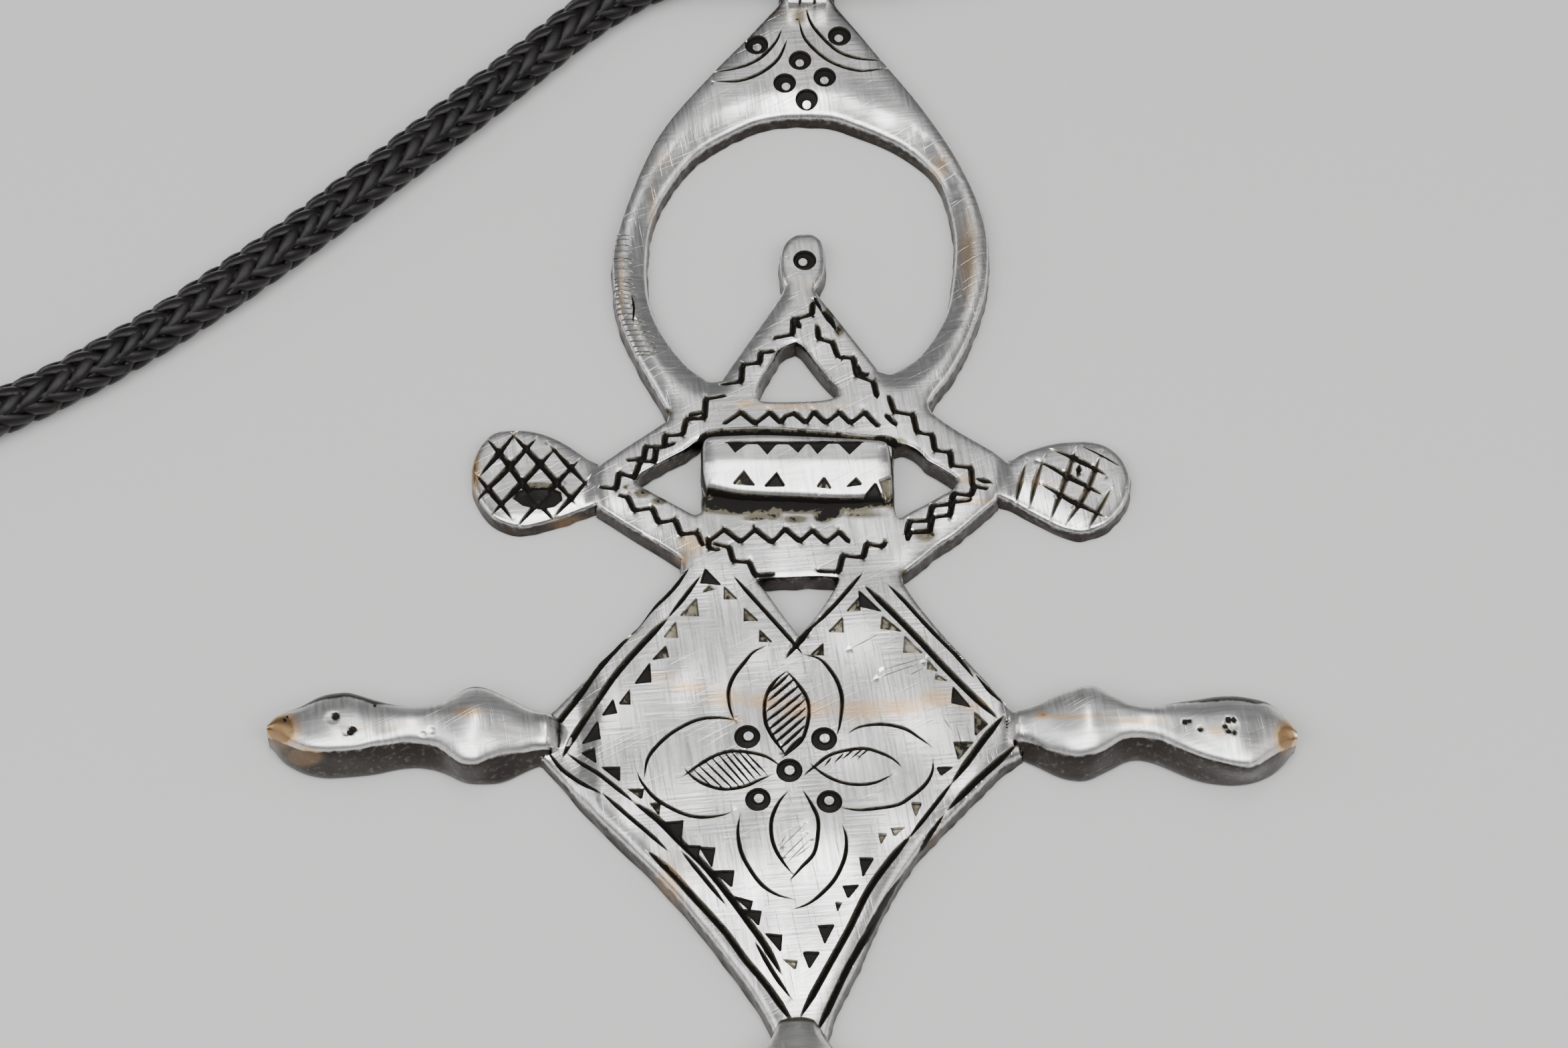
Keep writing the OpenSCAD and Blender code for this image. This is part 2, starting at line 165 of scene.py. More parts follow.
# Outline of the plate, charted up its right side and down its left one. Each part has
# its pixels, its level, the width and depth of its rounded edge, and the width and
# depth of the broad filed slope inside it.
OUTLINE = [
    ([(1236, 1568), (1238, 1545), (1246, 1513), (1262, 1478), (1282, 1440), (1299, 1400), (1319, 1356),
     (1344, 1312), (1371, 1272), (1400, 1241), (1434, 1206), (1472, 1168), (1503, 1138),
     (1530, 1120)], PLATE_T, 0.75, 0.55, 1.1, 0.1),
    ([(1530, 1116), (1530, 1062)], PLATE_T, 0.2, 0.15, 0.4, 0.0),
    ([(1522, 1060), (1508, 1050), (1500, 1040), (1475, 1013), (1450, 985), (1425, 958), (1400, 930),
     (1375, 900), (1352, 868)], PLATE_T, 0.3, 0.22, 0.5, 0.04),
    ([(1350, 854), (1375, 835), (1403, 812), (1432, 793), (1475, 757), (1494, 741)],
     PLATE_T, 0.3, 0.25, 1.3, 0.14),
    ([(1494, 741), (1513, 745), (1540, 760), (1578, 780), (1600, 788), (1621, 791), (1645, 784),
     (1662, 774), (1684, 748), (1692, 717), (1688, 696), (1676, 676), (1654, 660), (1628, 654),
     (1600, 654), (1575, 657), (1552, 663), (1529, 672), (1510, 684)], KNOB_T, 0.4, 0.3, 1.6, 0.12),
    ([(1510, 684), (1475, 663), (1432, 638), (1396, 613)], PLATE_T, 0.25, 0.2, 0.8, 0.06),
    ([(1390, 602), (1400, 583), (1426, 549), (1453, 496), (1475, 429), (1479, 357), (1468, 304),
     (1444, 250), (1415, 201), (1368, 138), (1323, 85), (1250, 0)], PLATE_T, 0.35, 0.3, 1.0, 0.16),
    ([(1243, -8), (1243, -15), (1170, -15), (1170, -8)], PLATE_T, 0.15, 0.1, 0.4, 0.0),
    ([(1165, 0), (1064, 103), (1015, 156), (984, 196), (962, 237), (935, 304), (917, 366), (917, 411),
     (924, 464), (946, 518), (979, 576), (1000, 612)], PLATE_T, 0.35, 0.3, 1.0, 0.16),
    ([(998, 623), (950, 655), (894, 691)], PLATE_T, 0.25, 0.2, 0.8, 0.06),
    ([(894, 691), (868, 672), (843, 656), (815, 644), (787, 638), (755, 638), (738, 642), (727, 650),
     (715, 665), (708, 683), (706, 700), (707, 718), (715, 742), (734, 767), (755, 778), (780, 783),
     (804, 779), (846, 767), (870, 758), (892, 752)], KNOB_T, 0.35, 0.25, 1.0, 0.1),
    ([(892, 752), (950, 788), (985, 808), (1018, 830)], PLATE_T, 0.25, 0.2, 1.3, 0.14),
    ([(1020, 845), (1016, 858), (1000, 878), (975, 905), (950, 936), (925, 958), (900, 983),
     (875, 1008), (850, 1032), (830, 1052), (822, 1060)], PLATE_T, 0.25, 0.2, 0.6, 0.06),
    ([(806, 1064), (808, 1126)], PLATE_T, 0.2, 0.15, 0.4, 0.0),
    ([(812, 1128), (845, 1163), (874, 1197), (903, 1227), (940, 1262), (976, 1298), (1010, 1334),
     (1041, 1371), (1070, 1406), (1094, 1438), (1118, 1470), (1136, 1497), (1150, 1522), (1160, 1545),
     (1162, 1568)], PLATE_T, 0.65, 0.5, 1.1, 0.1),
]

# The openings, in the same columns: the ring's opening around the prong, then the
# four triangular windows.
OPENINGS = [
    [
        ([(1064, 560), (1033, 540), (1002, 504), (979, 464), (968, 424), (967, 371), (975, 321),
         (1002, 268), (1046, 219), (1118, 179), (1165, 167), (1207, 165), (1245, 168), (1279, 179),
         (1341, 205), (1386, 237), (1410, 268), (1424, 313), (1430, 357), (1426, 411), (1417, 455),
         (1395, 496), (1368, 527), (1330, 549)], PLATE_T, 0.5, 0.36, 2.0, 0.44),
        ([(1314, 549), (1266, 489), (1226, 440)], PLATE_T, 0.2, 0.15, 0.5, 0.05),
        ([(1219, 429), (1228, 415), (1233, 398), (1234, 375), (1229, 355), (1216, 345), (1203, 344),
         (1188, 347), (1175, 358), (1168, 375), (1167, 395), (1169, 410), (1173, 424)],
         PLATE_T, 0.3, 0.25, 0.7, 0.06),
        ([(1171, 428), (1125, 493), (1079, 559)], PLATE_T, 0.45, 0.35, 1.1, 0.28),
    ],
    [
        ([(1190, 508), (1167, 519), (1158, 535), (1141, 562), (1133, 582)],
         PLATE_T, 0.15, 0.12, 0.5, 0.03),
        ([(1133, 584), (1138, 595), (1182, 597), (1222, 595), (1243, 592), (1256, 586)],
         PLATE_T, 0.15, 0.12, 0.4, 0.0),
        ([(1256, 584), (1253, 577), (1239, 562), (1219, 538), (1202, 516), (1190, 508)],
         PLATE_T, 0.15, 0.12, 0.5, 0.03),
    ],
    [
        ([(951, 719), (959, 705), (985, 690), (1007, 678), (1026, 668), (1041, 657), (1050, 652)],
         PLATE_T, 0.2, 0.15, 0.5, 0.04),
        ([(1051, 655), (1051, 758)], PLATE_T, 0.1, 0.08, 0.4, 0.0),
        ([(1049, 761), (1039, 765), (1019, 755), (983, 736), (951, 719)], PLATE_T, 0.2, 0.15, 0.5, 0.05),
    ],
    [
        ([(1337, 663), (1352, 661), (1368, 667), (1381, 678), (1387, 685), (1405, 695), (1424, 707),
         (1433, 715)], PLATE_T, 0.2, 0.15, 0.5, 0.04),
        ([(1433, 716), (1424, 729), (1410, 736), (1388, 748), (1364, 760), (1349, 770)],
         PLATE_T, 0.2, 0.15, 0.5, 0.05),
        ([(1347, 770), (1341, 767), (1337, 745), (1335, 697), (1336, 664)], PLATE_T, 0.1, 0.08, 0.4, 0.0),
    ],
    [
        ([(1133, 864), (1142, 861), (1175, 860), (1222, 859), (1254, 861)],
         PLATE_T, 0.15, 0.12, 0.5, 0.03),
        ([(1255, 863), (1251, 873), (1239, 893), (1219, 920), (1197, 947)],
         PLATE_T, 0.15, 0.12, 0.4, 0.0),
        ([(1195, 947), (1185, 934), (1165, 907), (1145, 880), (1133, 866)],
         PLATE_T, 0.15, 0.12, 0.4, 0.0),
    ],
]

# The raised block: its outline, on the level of its upper edge, its ridge, the slopes on
# both sides of that, and a line cut behind its triangles
BLOCK_LEVEL = 3.0
BLOCK_OUTLINE = [
    ([(1060, 733), (1108, 741), (1192, 745), (1260, 747), (1321, 746)],
     BLOCK_LEVEL - 0.6, 0.35, 0.35, 0.6, 0.05),
    ([(1324, 744), (1335, 738), (1336, 717), (1333, 680), (1330, 667)],
     BLOCK_LEVEL, 0.5, 0.45, 1.0, 0.25),
    ([(1328, 664), (1310, 660), (1242, 656), (1141, 652), (1060, 655)], BLOCK_LEVEL, 0.3, 0.3, 0.5, 0.0),
    ([(1057, 656), (1051, 664), (1050, 700), (1053, 720), (1058, 731)], BLOCK_LEVEL, 0.4, 0.4, 0.9, 0.2),
]
BLOCK_RIDGE = 690
BLOCK_SLOPE_BACK = 0.04
BLOCK_SLOPE_FRONT = 0.34
BLOCK_LINE = [[(1085, 666), (1180, 666), (1292, 665)]]

# Gravers: half width and depth of the cut, the length over which its ends taper, and
# how black it is.
GRAVER = {
    "riser": (0.235, 0.32, 0.15, 1.0),
    "tread": (0.185, 0.26, 0.15, 1.0),
    "border": (0.25, 0.4, 1.6, 1.0),
    "fine": (0.165, 0.27, 1.4, 1.0),
    "line": (0.15, 0.24, 2.2, 1.0),
    "petal": (0.14, 0.23, 1.6, 1.0),
    "bold": (0.135, 0.2, 0.7, 1.0),
    "hatch": (0.085, 0.12, 0.8, 1.0),
    "faint": (0.05, 0.05, 1.2, 0.36),
    "cross": (0.25, 0.36, 2.4, 1.0),
    "gilt": (0.24, 0.34, 2.0, 0.4),
    "moat": (0.36, 0.55, 0.5, 1.0),
    "nick": (0.06, 0.07, 0.2, 0.48),
}

# Strokes of the gravers
STAIRS = [
    [(1216, 450), (1215, 467), (1187, 474), (1186, 496), (1162, 501)],
    [(1190, 474), (1196, 484)],
    [(1156, 522), (1138, 524), (1137, 539), (1111, 541), (1109, 567), (1083, 569)],
    [(1083, 588), (1056, 593), (1054, 622), (1027, 623), (1021, 646), (995, 647), (994, 663)],
    [(1048, 614), (1032, 617)],
    [(1008, 659), (992, 665), (966, 664), (963, 682), (942, 685)],
    [(982, 665), (979, 687), (958, 686), (949, 711), (926, 704), (922, 728), (900, 725)],
    [(1223, 486), (1225, 503), (1246, 509), (1253, 528), (1260, 532)],
    [(1260, 531), (1277, 532), (1282, 558), (1307, 568), (1312, 589)],
    [(1282, 545), (1287, 556), (1296, 557)],
    [(1331, 592), (1338, 613), (1366, 617), (1372, 643), (1395, 647), (1399, 670), (1422, 673),
     (1424, 693), (1453, 696), (1455, 722), (1458, 724)],
    [(1458, 724), (1453, 738), (1427, 735), (1423, 751), (1395, 753), (1390, 775), (1361, 776),
     (1357, 794)],
    [(1451, 745), (1425, 748), (1422, 767), (1395, 770), (1391, 791), (1361, 793), (1358, 801)],
    [(1463, 725), (1477, 727)],
    [(929, 738), (939, 740), (949, 760), (976, 756), (985, 778), (1010, 774), (1019, 796), (1043, 793),
     (1051, 811)],
    [(1059, 804), (1061, 817), (1074, 819)],
    [(1070, 810), (1091, 815), (1097, 836), (1121, 837), (1130, 857), (1156, 855)],
    [(1324, 808), (1320, 814), (1297, 809), (1292, 830), (1261, 827), (1255, 852), (1225, 851)],
]
ZIGZAGS = [
    [(1084, 630), (1109, 613), (1130, 630), (1152, 613), (1169, 629), (1175, 619), (1189, 615),
     (1206, 629), (1218, 612), (1236, 629), (1256, 613), (1273, 629), (1294, 613), (1310, 630)],
    [(1327, 619), (1339, 630)],
    [(1062, 805), (1084, 788), (1108, 807), (1130, 788), (1155, 808), (1175, 788), (1197, 807),
     (1216, 790), (1236, 808), (1256, 792), (1270, 806)],
]
BORDERS = [
    [(944, 946), (921, 967), (896, 996), (864, 1037), (838, 1070), (811, 1111)],
    [(1000, 920), (953, 968), (921, 1006), (892, 1047), (864, 1085), (841, 1125)],
    [(1293, 872), (1323, 901), (1368, 946), (1406, 987), (1450, 1032), (1492, 1070)],
    [(1503, 1065), (1476, 1098), (1451, 1133), (1425, 1168)],
    [(1362, 1249), (1334, 1282), (1300, 1330), (1270, 1389), (1237, 1448), (1199, 1516)],
    [(1521, 1107), (1505, 1123), (1457, 1168), (1419, 1207)],
    [(1366, 1284), (1351, 1308), (1326, 1343), (1295, 1397), (1265, 1450), (1224, 1537)],
    [(969, 1270), (1004, 1303), (1036, 1338), (1084, 1391), (1114, 1432), (1148, 1473), (1186, 1527)],
    [(947, 1197), (982, 1222), (1017, 1257), (1055, 1295), (1094, 1343), (1122, 1381), (1142, 1409),
     (1168, 1453)],
    [(1229, 462), (1243, 477), (1250, 490)],
    [(1462, 713), (1483, 718)],
    [(1220, 928), (1198, 954), (1176, 981)],
]
FINE = [
    [(1031, 846), (1004, 881), (972, 912), (944, 946)],
    [(1048, 858), (1023, 891), (1000, 920)],
    [(1328, 870), (1358, 901), (1393, 939), (1431, 977), (1457, 1010)],
    [(1460, 1005), (1482, 1031), (1505, 1051)],
    [(1425, 1168), (1393, 1210), (1361, 1251)],
    [(1413, 1214), (1400, 1232), (1374, 1268)],
    [(819, 1117), (841, 1143), (870, 1165), (899, 1185)],
    [(901, 1184), (937, 1216), (969, 1243), (998, 1270)],
    [(848, 1120), (880, 1143), (912, 1168), (947, 1197)],
    [(1020, 1272), (1053, 1312), (1084, 1350)],
    [(1130, 1408), (1158, 1455), (1182, 1489)],
    [(1098, 859), (1132, 897), (1167, 936), (1200, 974)],
    [(1291, 853), (1250, 901), (1211, 939)],
    [(1218, 440), (1229, 462)],
]
LINES = [
    [(1187, 1539), (1194, 1537), (1201, 1541)],
    [(1170, 38), (1160, 60), (1134, 85), (1098, 99), (1066, 103)],
    [(1178, 54), (1165, 83), (1138, 105), (1105, 117), (1066, 118)],
    [(1206, 8), (1216, 35), (1250, 70), (1285, 83), (1325, 84)],
    [(1196, 30), (1206, 57), (1240, 87), (1285, 101), (1329, 96)],
    [(1148, 963), (1128, 972), (1112, 990), (1098, 1009), (1090, 1031), (1092, 1057), (1100, 1078)],
    [(1202, 976), (1227, 983), (1247, 1006), (1257, 1028), (1260, 1050), (1256, 1085), (1251, 1098)],
    [(1105, 1076), (1074, 1071), (1042, 1074), (1010, 1090), (985, 1111), (969, 1133), (964, 1160)],
    [(953, 1151), (960, 1168), (979, 1191), (1004, 1207), (1030, 1218), (1055, 1221), (1081, 1218),
     (1097, 1212)],
    [(1270, 1095), (1288, 1085), (1320, 1081), (1352, 1087), (1374, 1100), (1392, 1113)],
    [(1396, 1133), (1395, 1152), (1384, 1172), (1361, 1192), (1342, 1203), (1307, 1209), (1282, 1211),
     (1256, 1207)],
    [(1107, 1218), (1104, 1244), (1109, 1274), (1122, 1300), (1140, 1323), (1163, 1338), (1186, 1344)],
    [(1260, 1232), (1266, 1254), (1264, 1282), (1250, 1313), (1229, 1336), (1209, 1351), (1188, 1359)],
]
PETALS = [
    [(1177, 1001), (1157, 1019), (1145, 1044), (1145, 1076), (1154, 1098), (1167, 1117), (1177, 1130)],
    [(1178, 1001), (1195, 1022), (1208, 1044), (1210, 1070), (1202, 1101), (1189, 1117), (1170, 1133)],
    [(1023, 1159), (1042, 1145), (1068, 1129), (1094, 1122), (1125, 1125), (1148, 1132), (1167, 1145)],
    [(1023, 1147), (1038, 1162), (1058, 1173), (1084, 1179), (1113, 1175), (1138, 1165), (1154, 1159)],
    [(1203, 1159), (1218, 1146), (1240, 1129), (1266, 1121), (1294, 1118), (1317, 1124), (1336, 1133),
     (1349, 1145)],
    [(1211, 1140), (1231, 1156), (1253, 1167), (1278, 1172), (1307, 1170), (1336, 1157)],
    [(1179, 1183), (1165, 1200), (1155, 1223), (1154, 1246), (1159, 1267), (1170, 1287), (1184, 1305)],
    [(1201, 1181), (1214, 1203), (1223, 1223), (1224, 1246), (1218, 1276), (1199, 1297), (1183, 1315)],
]
BOLD_HATCH = [
    [(1152, 1032), (1180, 1006)], [(1149, 1046), (1188, 1013)], [(1147, 1062), (1196, 1022)],
    [(1147, 1077), (1200, 1034)], [(1150, 1090), (1205, 1043)], [(1154, 1100), (1206, 1056)],
    [(1160, 1110), (1206, 1069)], [(1167, 1119), (1204, 1084)], [(1174, 1127), (1198, 1101)],
]
HATCHES = [
    [(1038, 1150), (1064, 1174)], [(1045, 1143), (1082, 1178)], [(1055, 1137), (1096, 1178)],
    [(1064, 1131), (1106, 1175)], [(1075, 1127), (1114, 1172)], [(1084, 1124), (1122, 1169)],
    [(1094, 1123), (1130, 1165)], [(1105, 1123), (1138, 1160)], [(1116, 1125), (1145, 1155)],
    [(1236, 1142), (1243, 1133)], [(1250, 1138), (1262, 1126)], [(1262, 1133), (1276, 1121)],
    [(1276, 1131), (1290, 1119)], [(1288, 1129), (1298, 1120)],
]
FAINT = [
    [(1170, 1266), (1204, 1234)], [(1168, 1286), (1208, 1248)], [(1178, 1290), (1212, 1256)],
    [(1190, 1282), (1212, 1266)], [(1272, 968), (1317, 945)], [(1320, 1000), (1387, 980)],
    [(1313, 1012), (1380, 988)], [(1360, 1008), (1384, 996)], [(1410, 1070), (1424, 1090)],
    [(1430, 1080), (1438, 1108)], [(1168, 1262), (1176, 1250)],
]
RING_LINE = [[(945, 438), (948, 455), (947, 477)]]
LEFT_CROSS = [
    [(773, 641), (745, 675), (716, 709)],
    [(804, 650), (757, 699), (709, 748)],
    [(833, 664), (783, 716), (733, 768)],
    [(868, 682), (821, 731), (775, 781)],
    [(881, 713), (856, 740), (830, 767)],
    [(727, 650), (760, 690), (794, 736), (830, 775)],
    [(764, 643), (812, 695), (861, 751)],
    [(820, 660), (850, 692), (880, 725)],
    [(709, 702), (738, 737), (766, 773)],
]
RIGHT_GILT = [
    [(1536, 685), (1527, 717), (1520, 748)],
    [(1563, 679), (1550, 716), (1541, 754)],
    [(1611, 665), (1594, 715), (1572, 773)],
    [(1648, 674), (1624, 735), (1596, 778)],
    [(1665, 722), (1646, 755), (1630, 784)],
]
RIGHT_CROSS = [
    [(1573, 668), (1604, 680), (1635, 696), (1657, 708)],
    [(1554, 686), (1591, 705), (1623, 722), (1651, 737)],
    [(1557, 720), (1587, 736), (1613, 750), (1656, 770)],
    [(1615, 694), (1614, 703)],
]
RIGHT_FINE = [[(1620, 664), (1648, 678), (1675, 693)]]
MOAT = [
    [(1046, 657), (1058, 649), (1074, 645), (1141, 642), (1200, 645), (1243, 648), (1290, 653),
     (1327, 655), (1342, 663)],
]
# Fine file nicks across the left of the ring: y, and the x of both ends
NICKS = [
    (346, 920, 941), (352, 919, 940), (361, 918, 941), (370, 918, 941), (381, 917, 942), (386, 918, 941),
    (397, 917, 941), (412, 916, 944), (417, 917, 943), (423, 917, 945), (429, 917, 943), (436, 918, 946),
    (441, 918, 944), (449, 920, 945), (456, 921, 945), (464, 924, 946), (473, 928, 960), (480, 930, 962),
    (489, 935, 973), (496, 938, 976), (505, 941, 975), (513, 945, 978), (521, 950, 977), (526, 955, 975),
]

# Punched triangles: the pixels of their corners and how black the pit is.
MARKS = [
    ([(1055, 847), (1048, 869), (1079, 872)], 1.0), ([(1061, 872), (1048, 884), (1073, 878)], 0.45),
    ([(1042, 891), (1017, 918), (1045, 918)], 0.4), ([(1011, 926), (992, 950), (1014, 951)], 0.4),
    ([(996, 962), (975, 984), (1000, 980)], 0.6), ([(972, 988), (949, 1020), (974, 1017)], 1.0),
    ([(942, 1028), (925, 1051), (943, 1051)], 0.7), ([(917, 1043), (900, 1068), (923, 1064)], 1.0),
    ([(894, 1075), (870, 1106), (898, 1102)], 1.0), ([(889, 1115), (868, 1119), (892, 1139)], 1.0),
    ([(1285, 880), (1287, 905), (1319, 912)], 1.0), ([(1320, 918), (1318, 938), (1350, 942)], 0.5),
    ([(1354, 948), (1352, 973), (1381, 974)], 0.35), ([(1388, 982), (1387, 998), (1404, 1002)], 0.4),
    ([(1400, 1004), (1399, 1014), (1422, 1017)], 0.4), ([(1426, 1024), (1424, 1049), (1453, 1055)], 1.0),
    ([(1458, 1061), (1459, 1098), (1478, 1080)], 0.6), ([(1427, 1108), (1457, 1107), (1434, 1135)], 0.6),
    ([(1401, 1145), (1427, 1145), (1408, 1159)], 0.9), ([(1083, 873), (1083, 893), (1104, 893)], 0.5),
    ([(1113, 905), (1113, 926), (1135, 926)], 0.55), ([(1136, 938), (1136, 957), (1156, 958)], 0.6),
    ([(1286, 890), (1266, 912), (1287, 911)], 0.5), ([(1261, 920), (1239, 942), (1262, 943)], 0.5),
    ([(1232, 958), (1212, 977), (1232, 977)], 0.6), ([(899, 1145), (927, 1145), (927, 1167)], 0.95),
    ([(938, 1178), (963, 1178), (960, 1194)], 0.7), ([(971, 1199), (988, 1199), (986, 1218)], 0.7),
    ([(995, 1228), (1022, 1226), (1019, 1255)], 0.9), ([(1024, 1263), (1048, 1264), (1044, 1283)], 0.9),
    ([(1046, 1266), (1070, 1268), (1065, 1297)], 0.9), ([(1066, 1302), (1098, 1302), (1095, 1327)], 1.0),
    ([(1096, 1339), (1126, 1347), (1122, 1362)], 0.9), ([(1111, 1359), (1139, 1362), (1135, 1384)], 0.8),
    ([(1144, 1395), (1170, 1398), (1168, 1423)], 1.0), ([(1170, 1433), (1193, 1436), (1190, 1450)], 0.4),
    ([(1363, 1199), (1380, 1199), (1370, 1221)], 0.5), ([(1314, 1246), (1328, 1246), (1318, 1263)], 0.4),
    ([(1333, 1238), (1355, 1236), (1338, 1251)], 0.35), ([(1286, 1283), (1308, 1283), (1291, 1312)], 1.0),
    ([(1261, 1325), (1286, 1323), (1269, 1344)], 0.9), ([(1249, 1347), (1260, 1350), (1253, 1364)], 0.5),
    ([(1224, 1384), (1249, 1382), (1234, 1411)], 0.9), ([(1201, 1423), (1227, 1423), (1211, 1448)], 1.0),
]
BLOCK_MARKS = [
    ([(1089, 667), (1118, 667), (1100, 681)], 1.0), ([(1133, 666), (1163, 666), (1148, 683)], 1.0),
    ([(1178, 666), (1207, 666), (1194, 681)], 1.0), ([(1210, 666), (1240, 666), (1223, 683)], 1.0),
    ([(1254, 666), (1290, 665), (1271, 683)], 1.0), ([(1096, 723), (1130, 725), (1113, 706)], 0.6),
    ([(1143, 726), (1175, 726), (1162, 708)], 1.0), ([(1221, 727), (1245, 729), (1233, 713)], 0.6),
    ([(1265, 727), (1291, 724), (1281, 714)], 0.8), ([(1289, 742), (1310, 721), (1322, 743)], 1.0),
    ([(1315, 719), (1333, 711), (1334, 738), (1325, 742)], 0.4),
]
# A dark pit in the left round end, by its corners
KNOB_PITS = [
    ([(770, 742), (777, 732), (795, 728), (822, 728), (836, 734), (838, 745), (827, 754), (806, 757),
     (784, 752)], 1.0),
]
MARK_DEPTH = 0.26
BLOCK_MARK_DEPTH = 0.3
MARK_WALL = 0.10
MARK_SPREAD = 1.12

# Punched rings: pixel of the middle, radius in pixels, the way that the raised dot in
# it is set off, and by how much of the radius.
RINGS = [
    ((1181, 1152), 19.5, 60, 0.05), ((1118, 1101), 19.5, 40, 0.12), ((1233, 1104), 19.5, 60, 0.1),
    ((1134, 1195), 19.0, 60, 0.14), ((1241, 1199), 19.0, 100, 0.12), ((1204, 386), 18.0, 225, 0.22),
    ((1132, 63), 18.5, 280, 0.25), ((1256, 50), 18.5, 255, 0.22), ((1197, 87), 18.0, 265, 0.25),
    ((1174, 120), 18.0, 290, 0.34), ((1234, 112), 18.0, 265, 0.3), ((1207, 143), 18.0, 270, 0.46),
]
RING_PIXELS = 23.0
RING_DEPTH = 0.30
RING_DOT = 0.46

# The arms: pixels of the back outline, the crease where the slope meets the tall front
# wall, and the foot of that wall; then by x where the ridge lies, the crease's height as a
# share, and the height of the ridge.
LEFT_ARM = {
    "back": [(404, 1095), (408, 1079), (414, 1071), (426, 1063), (450, 1053), (475, 1038), (491, 1032),
        (506, 1030), (521, 1029), (537, 1033), (555, 1039), (575, 1045), (592, 1049), (614, 1052),
        (635, 1052), (651, 1049), (666, 1043), (680, 1035), (694, 1024), (703, 1020), (711, 1019),
        (721, 1020), (734, 1025), (750, 1033), (768, 1042), (783, 1050), (800, 1058), (820, 1061)],
    "crease": [(404, 1098), (425, 1109), (441, 1115), (460, 1121), (475, 1123), (491, 1124),
        (515, 1124), (540, 1122), (565, 1117), (589, 1114), (601, 1111), (614, 1109), (632, 1110),
        (651, 1113), (663, 1118), (675, 1128), (688, 1138), (700, 1142), (712, 1143), (721, 1141),
        (731, 1135), (749, 1128), (768, 1125), (786, 1125), (800, 1122), (820, 1120)],
    "foot": [(404, 1117), (414, 1131), (426, 1145), (445, 1156), (463, 1163), (488, 1167), (512, 1166),
        (540, 1164), (565, 1161), (589, 1156), (611, 1153), (632, 1153), (657, 1158), (675, 1165),
        (691, 1173), (706, 1176), (725, 1176), (743, 1175), (758, 1171), (777, 1162), (800, 1151),
        (820, 1146)],
    "ridge": [(404, 0.5), (450, 0.42), (500, 0.42), (560, 0.45), (620, 0.45), (690, 0.42), (720, 0.4),
        (760, 0.42), (820, 0.45)],
    "rim": [(404, 0.76), (430, 0.86), (470, 0.9), (560, 0.9), (610, 0.84), (650, 0.8), (700, 0.78),
        (760, 0.78), (820, 0.76)],
    "high": [(404, 2.7), (412, 3.2), (430, 3.7), (460, 4.2), (500, 4.5), (560, 4.3), (620, 3.9),
        (670, 4.3), (711, 4.6), (750, 4.2), (790, 3.3), (820, 2.9)],
}
RIGHT_ARM = {
    "back": [(1523, 1058), (1538, 1053), (1551, 1048), (1569, 1038), (1588, 1030), (1603, 1026),
        (1615, 1022), (1628, 1020), (1640, 1021), (1652, 1027), (1665, 1035), (1680, 1044), (1695, 1051),
        (1714, 1055), (1732, 1053), (1751, 1048), (1775, 1044), (1800, 1039), (1825, 1035), (1849, 1034),
        (1875, 1038), (1892, 1042), (1903, 1048), (1917, 1061), (1928, 1073), (1934, 1088), (1936, 1104)],
    "crease": [(1523, 1106), (1538, 1110), (1551, 1113), (1563, 1121), (1578, 1125), (1597, 1130),
        (1615, 1131), (1634, 1127), (1649, 1121), (1665, 1110), (1677, 1103), (1695, 1101), (1714, 1102),
        (1732, 1107), (1750, 1115), (1775, 1126), (1800, 1135), (1825, 1142), (1849, 1147), (1865, 1148),
        (1877, 1144), (1892, 1133), (1911, 1122), (1936, 1112)],
    "foot": [(1523, 1138), (1551, 1150), (1569, 1159), (1588, 1167), (1609, 1171), (1628, 1170),
        (1646, 1162), (1665, 1153), (1683, 1144), (1701, 1141), (1723, 1145), (1745, 1153), (1766, 1162),
        (1791, 1171), (1818, 1176), (1849, 1178), (1880, 1173), (1905, 1161), (1923, 1144), (1936, 1124)],
    "ridge": [(1523, 0.4), (1560, 0.35), (1630, 0.33), (1680, 0.35), (1730, 0.36), (1780, 0.36),
        (1850, 0.36), (1900, 0.42), (1936, 0.5)],
    "rim": [(1523, 0.76), (1560, 0.78), (1650, 0.8), (1714, 0.83), (1770, 0.88), (1820, 0.9),
        (1880, 0.9), (1915, 0.84), (1936, 0.76)],
    "high": [(1523, 2.9), (1550, 3.4), (1590, 4.2), (1628, 4.6), (1665, 4.2), (1714, 3.8), (1780, 4.3),
        (1840, 4.5), (1880, 4.2), (1912, 3.6), (1928, 3.1), (1936, 2.7)],
}
ARM_BACK_SHARE = 0.67
ARM_CREASE_SHARE = 0.74
ARM_STEP = 2.4

# Where the arms sink into the plate: how far past their inner end, and share of the height
ARM_ROOT = ((0.3, 0.9), (0.8, 0.62), (1.6, 0.5))
FOOT_ROOT = ((0.3, 0.85), (1.0, 0.72), (2.0, 0.6))

# Corners of an arm's section, from the underside round: radius, bulge of the side that
# follows, points on that side and round the corner. Then the share of the height above
# which the section is evened, and how often.
SECTION = (
    (0.3, 0.0, 1, 3), (0.25, 0.0, 2, 3), (0.7, 0.03, 14, 7), (1.1, 0.07, 20, 15), (0.28, 0.0, 3, 7),
    (0.25, 0.0, 1, 3),
)
SECTION_SOFT = (0.5, 0.62)
SECTION_PASSES = 24

